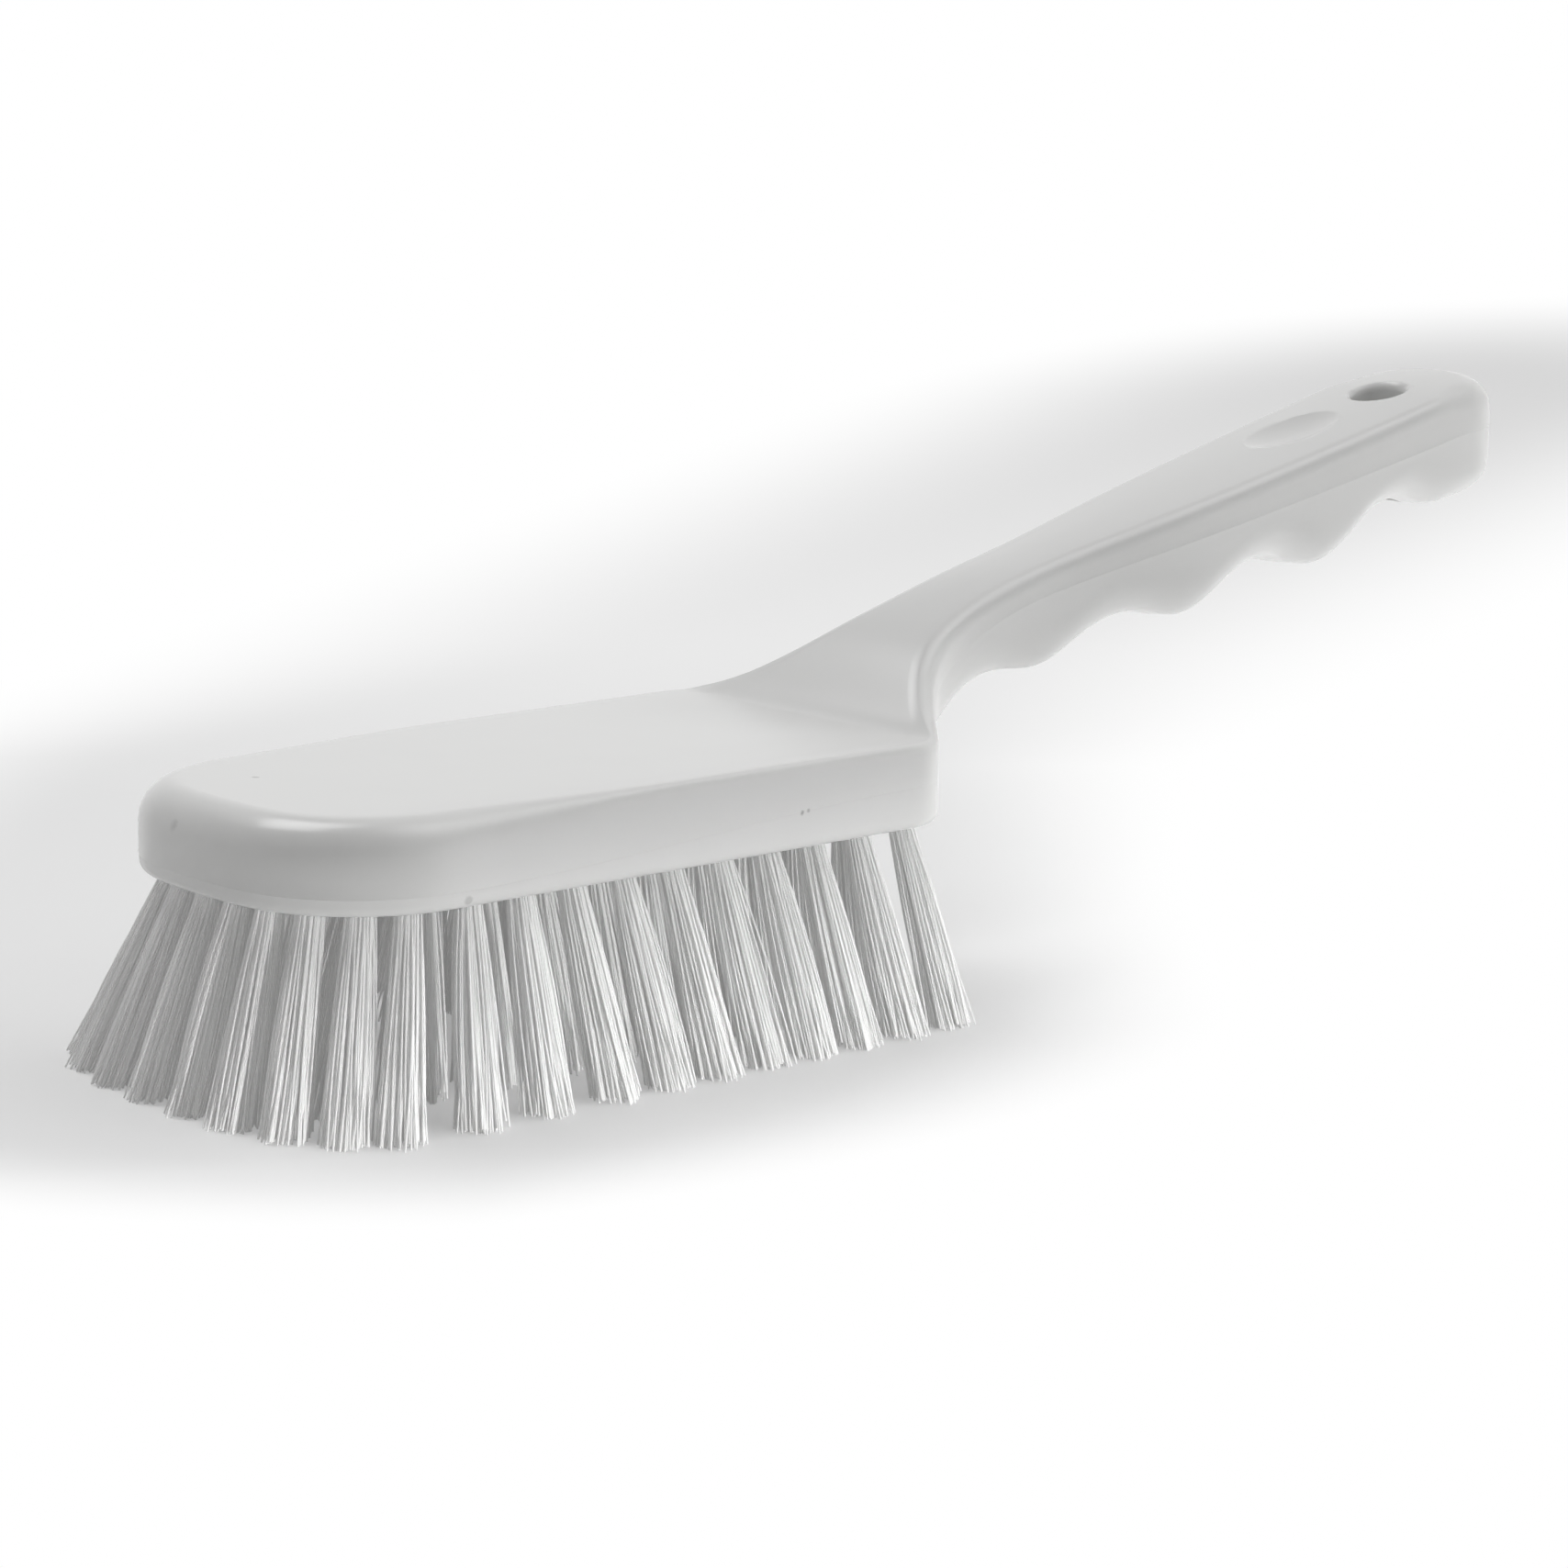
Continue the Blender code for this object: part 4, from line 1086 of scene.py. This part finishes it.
def floor_disc():
    """Round floor under the brush."""
    turn = np.arange(FLOOR_SIDES) * 2 * np.pi / FLOOR_SIDES
    rim = [(FLOOR_RADIUS * math.cos(a), FLOOR_RADIUS * math.sin(a), 0.0) for a in turn]
    mesh = bpy.data.meshes.new("floor")
    mesh.from_pydata(rim, [], [list(range(FLOOR_SIDES))])
    floor = bpy.data.objects.new("floor", mesh)
    bpy.context.scene.collection.objects.link(floor)
    mesh.materials.append(studio_floor())


PLACES = tuft_places()
stock = new_piece("stock_body", *join_rings(stock_rings()))
cut(stock, tuft_holes(PLACES))
cut(stock, [hanging_hole()])
cut(stock, [thumb_dish()])
finish_shading(stock.data)
stock.data.materials.clear()
stock.data.materials.append(moulded_plastic())
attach(stock, "root")
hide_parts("stock")

FILAMENT = filament_plastic()
BUNDLES = filament_tree()
for row in ("nose", "outer_near", "outer_far", "inner_near", "inner_far", "middle"):
    wide = INNER_TIP_DIAMETER if row.startswith(("inner", "middle")) else TUFT_TIP_DIAMETER
    places = [place for place in PLACES if place[0].startswith("tuft_" + row)]
    bristles("bristles_" + row, places, BUNDLES, FILAMENT, wide)

floor_disc()
white_surround()
lamp(
    "overhead_softbox",
    place=(0.525, -0.30, 1.365),
    target=(-0.10, 0.0, 0.03),
    size=(0.90, 0.90),
    power=1.02,
    spread=80,
)
lamp(
    "back_softbox",
    place=(-0.16, 0.55, 1.05),
    target=(-0.08, 0.0, 0.03),
    size=(0.60, 0.60),
    power=1.70,
    spread=100,
)
lamp(
    "right_fill",
    place=(0.78, -0.70, 0.16),
    target=(0.02, 0.0, 0.05),
    size=(0.85, 0.50),
    power=2.5,
    mirrored=False,
)
lamp(
    "floor_bounce",
    place=(0.16, -0.11, 0.003),
    target=(0.16, -0.11, 1.0),
    size=(0.24, 0.24),
    power=0.062,
    mirrored=False,
)
lamp(
    "handle_end_fill",
    place=(0.80, -0.20, 0.32),
    target=(0.118, 0.0, 0.07),
    size=(0.30, 0.30),
    power=0.05,
    spread=14,
    mirrored=False,
)
lamp(
    "low_fill",
    place=(-0.04, -0.63, 0.008),
    target=(-0.050, -0.02, 0.0),
    size=(0.42, 0.02),
    power=0.046,
    spread=8,
    mirrored=False,
)
photo_camera()
bpy.context.scene.view_settings.view_transform = "Standard"
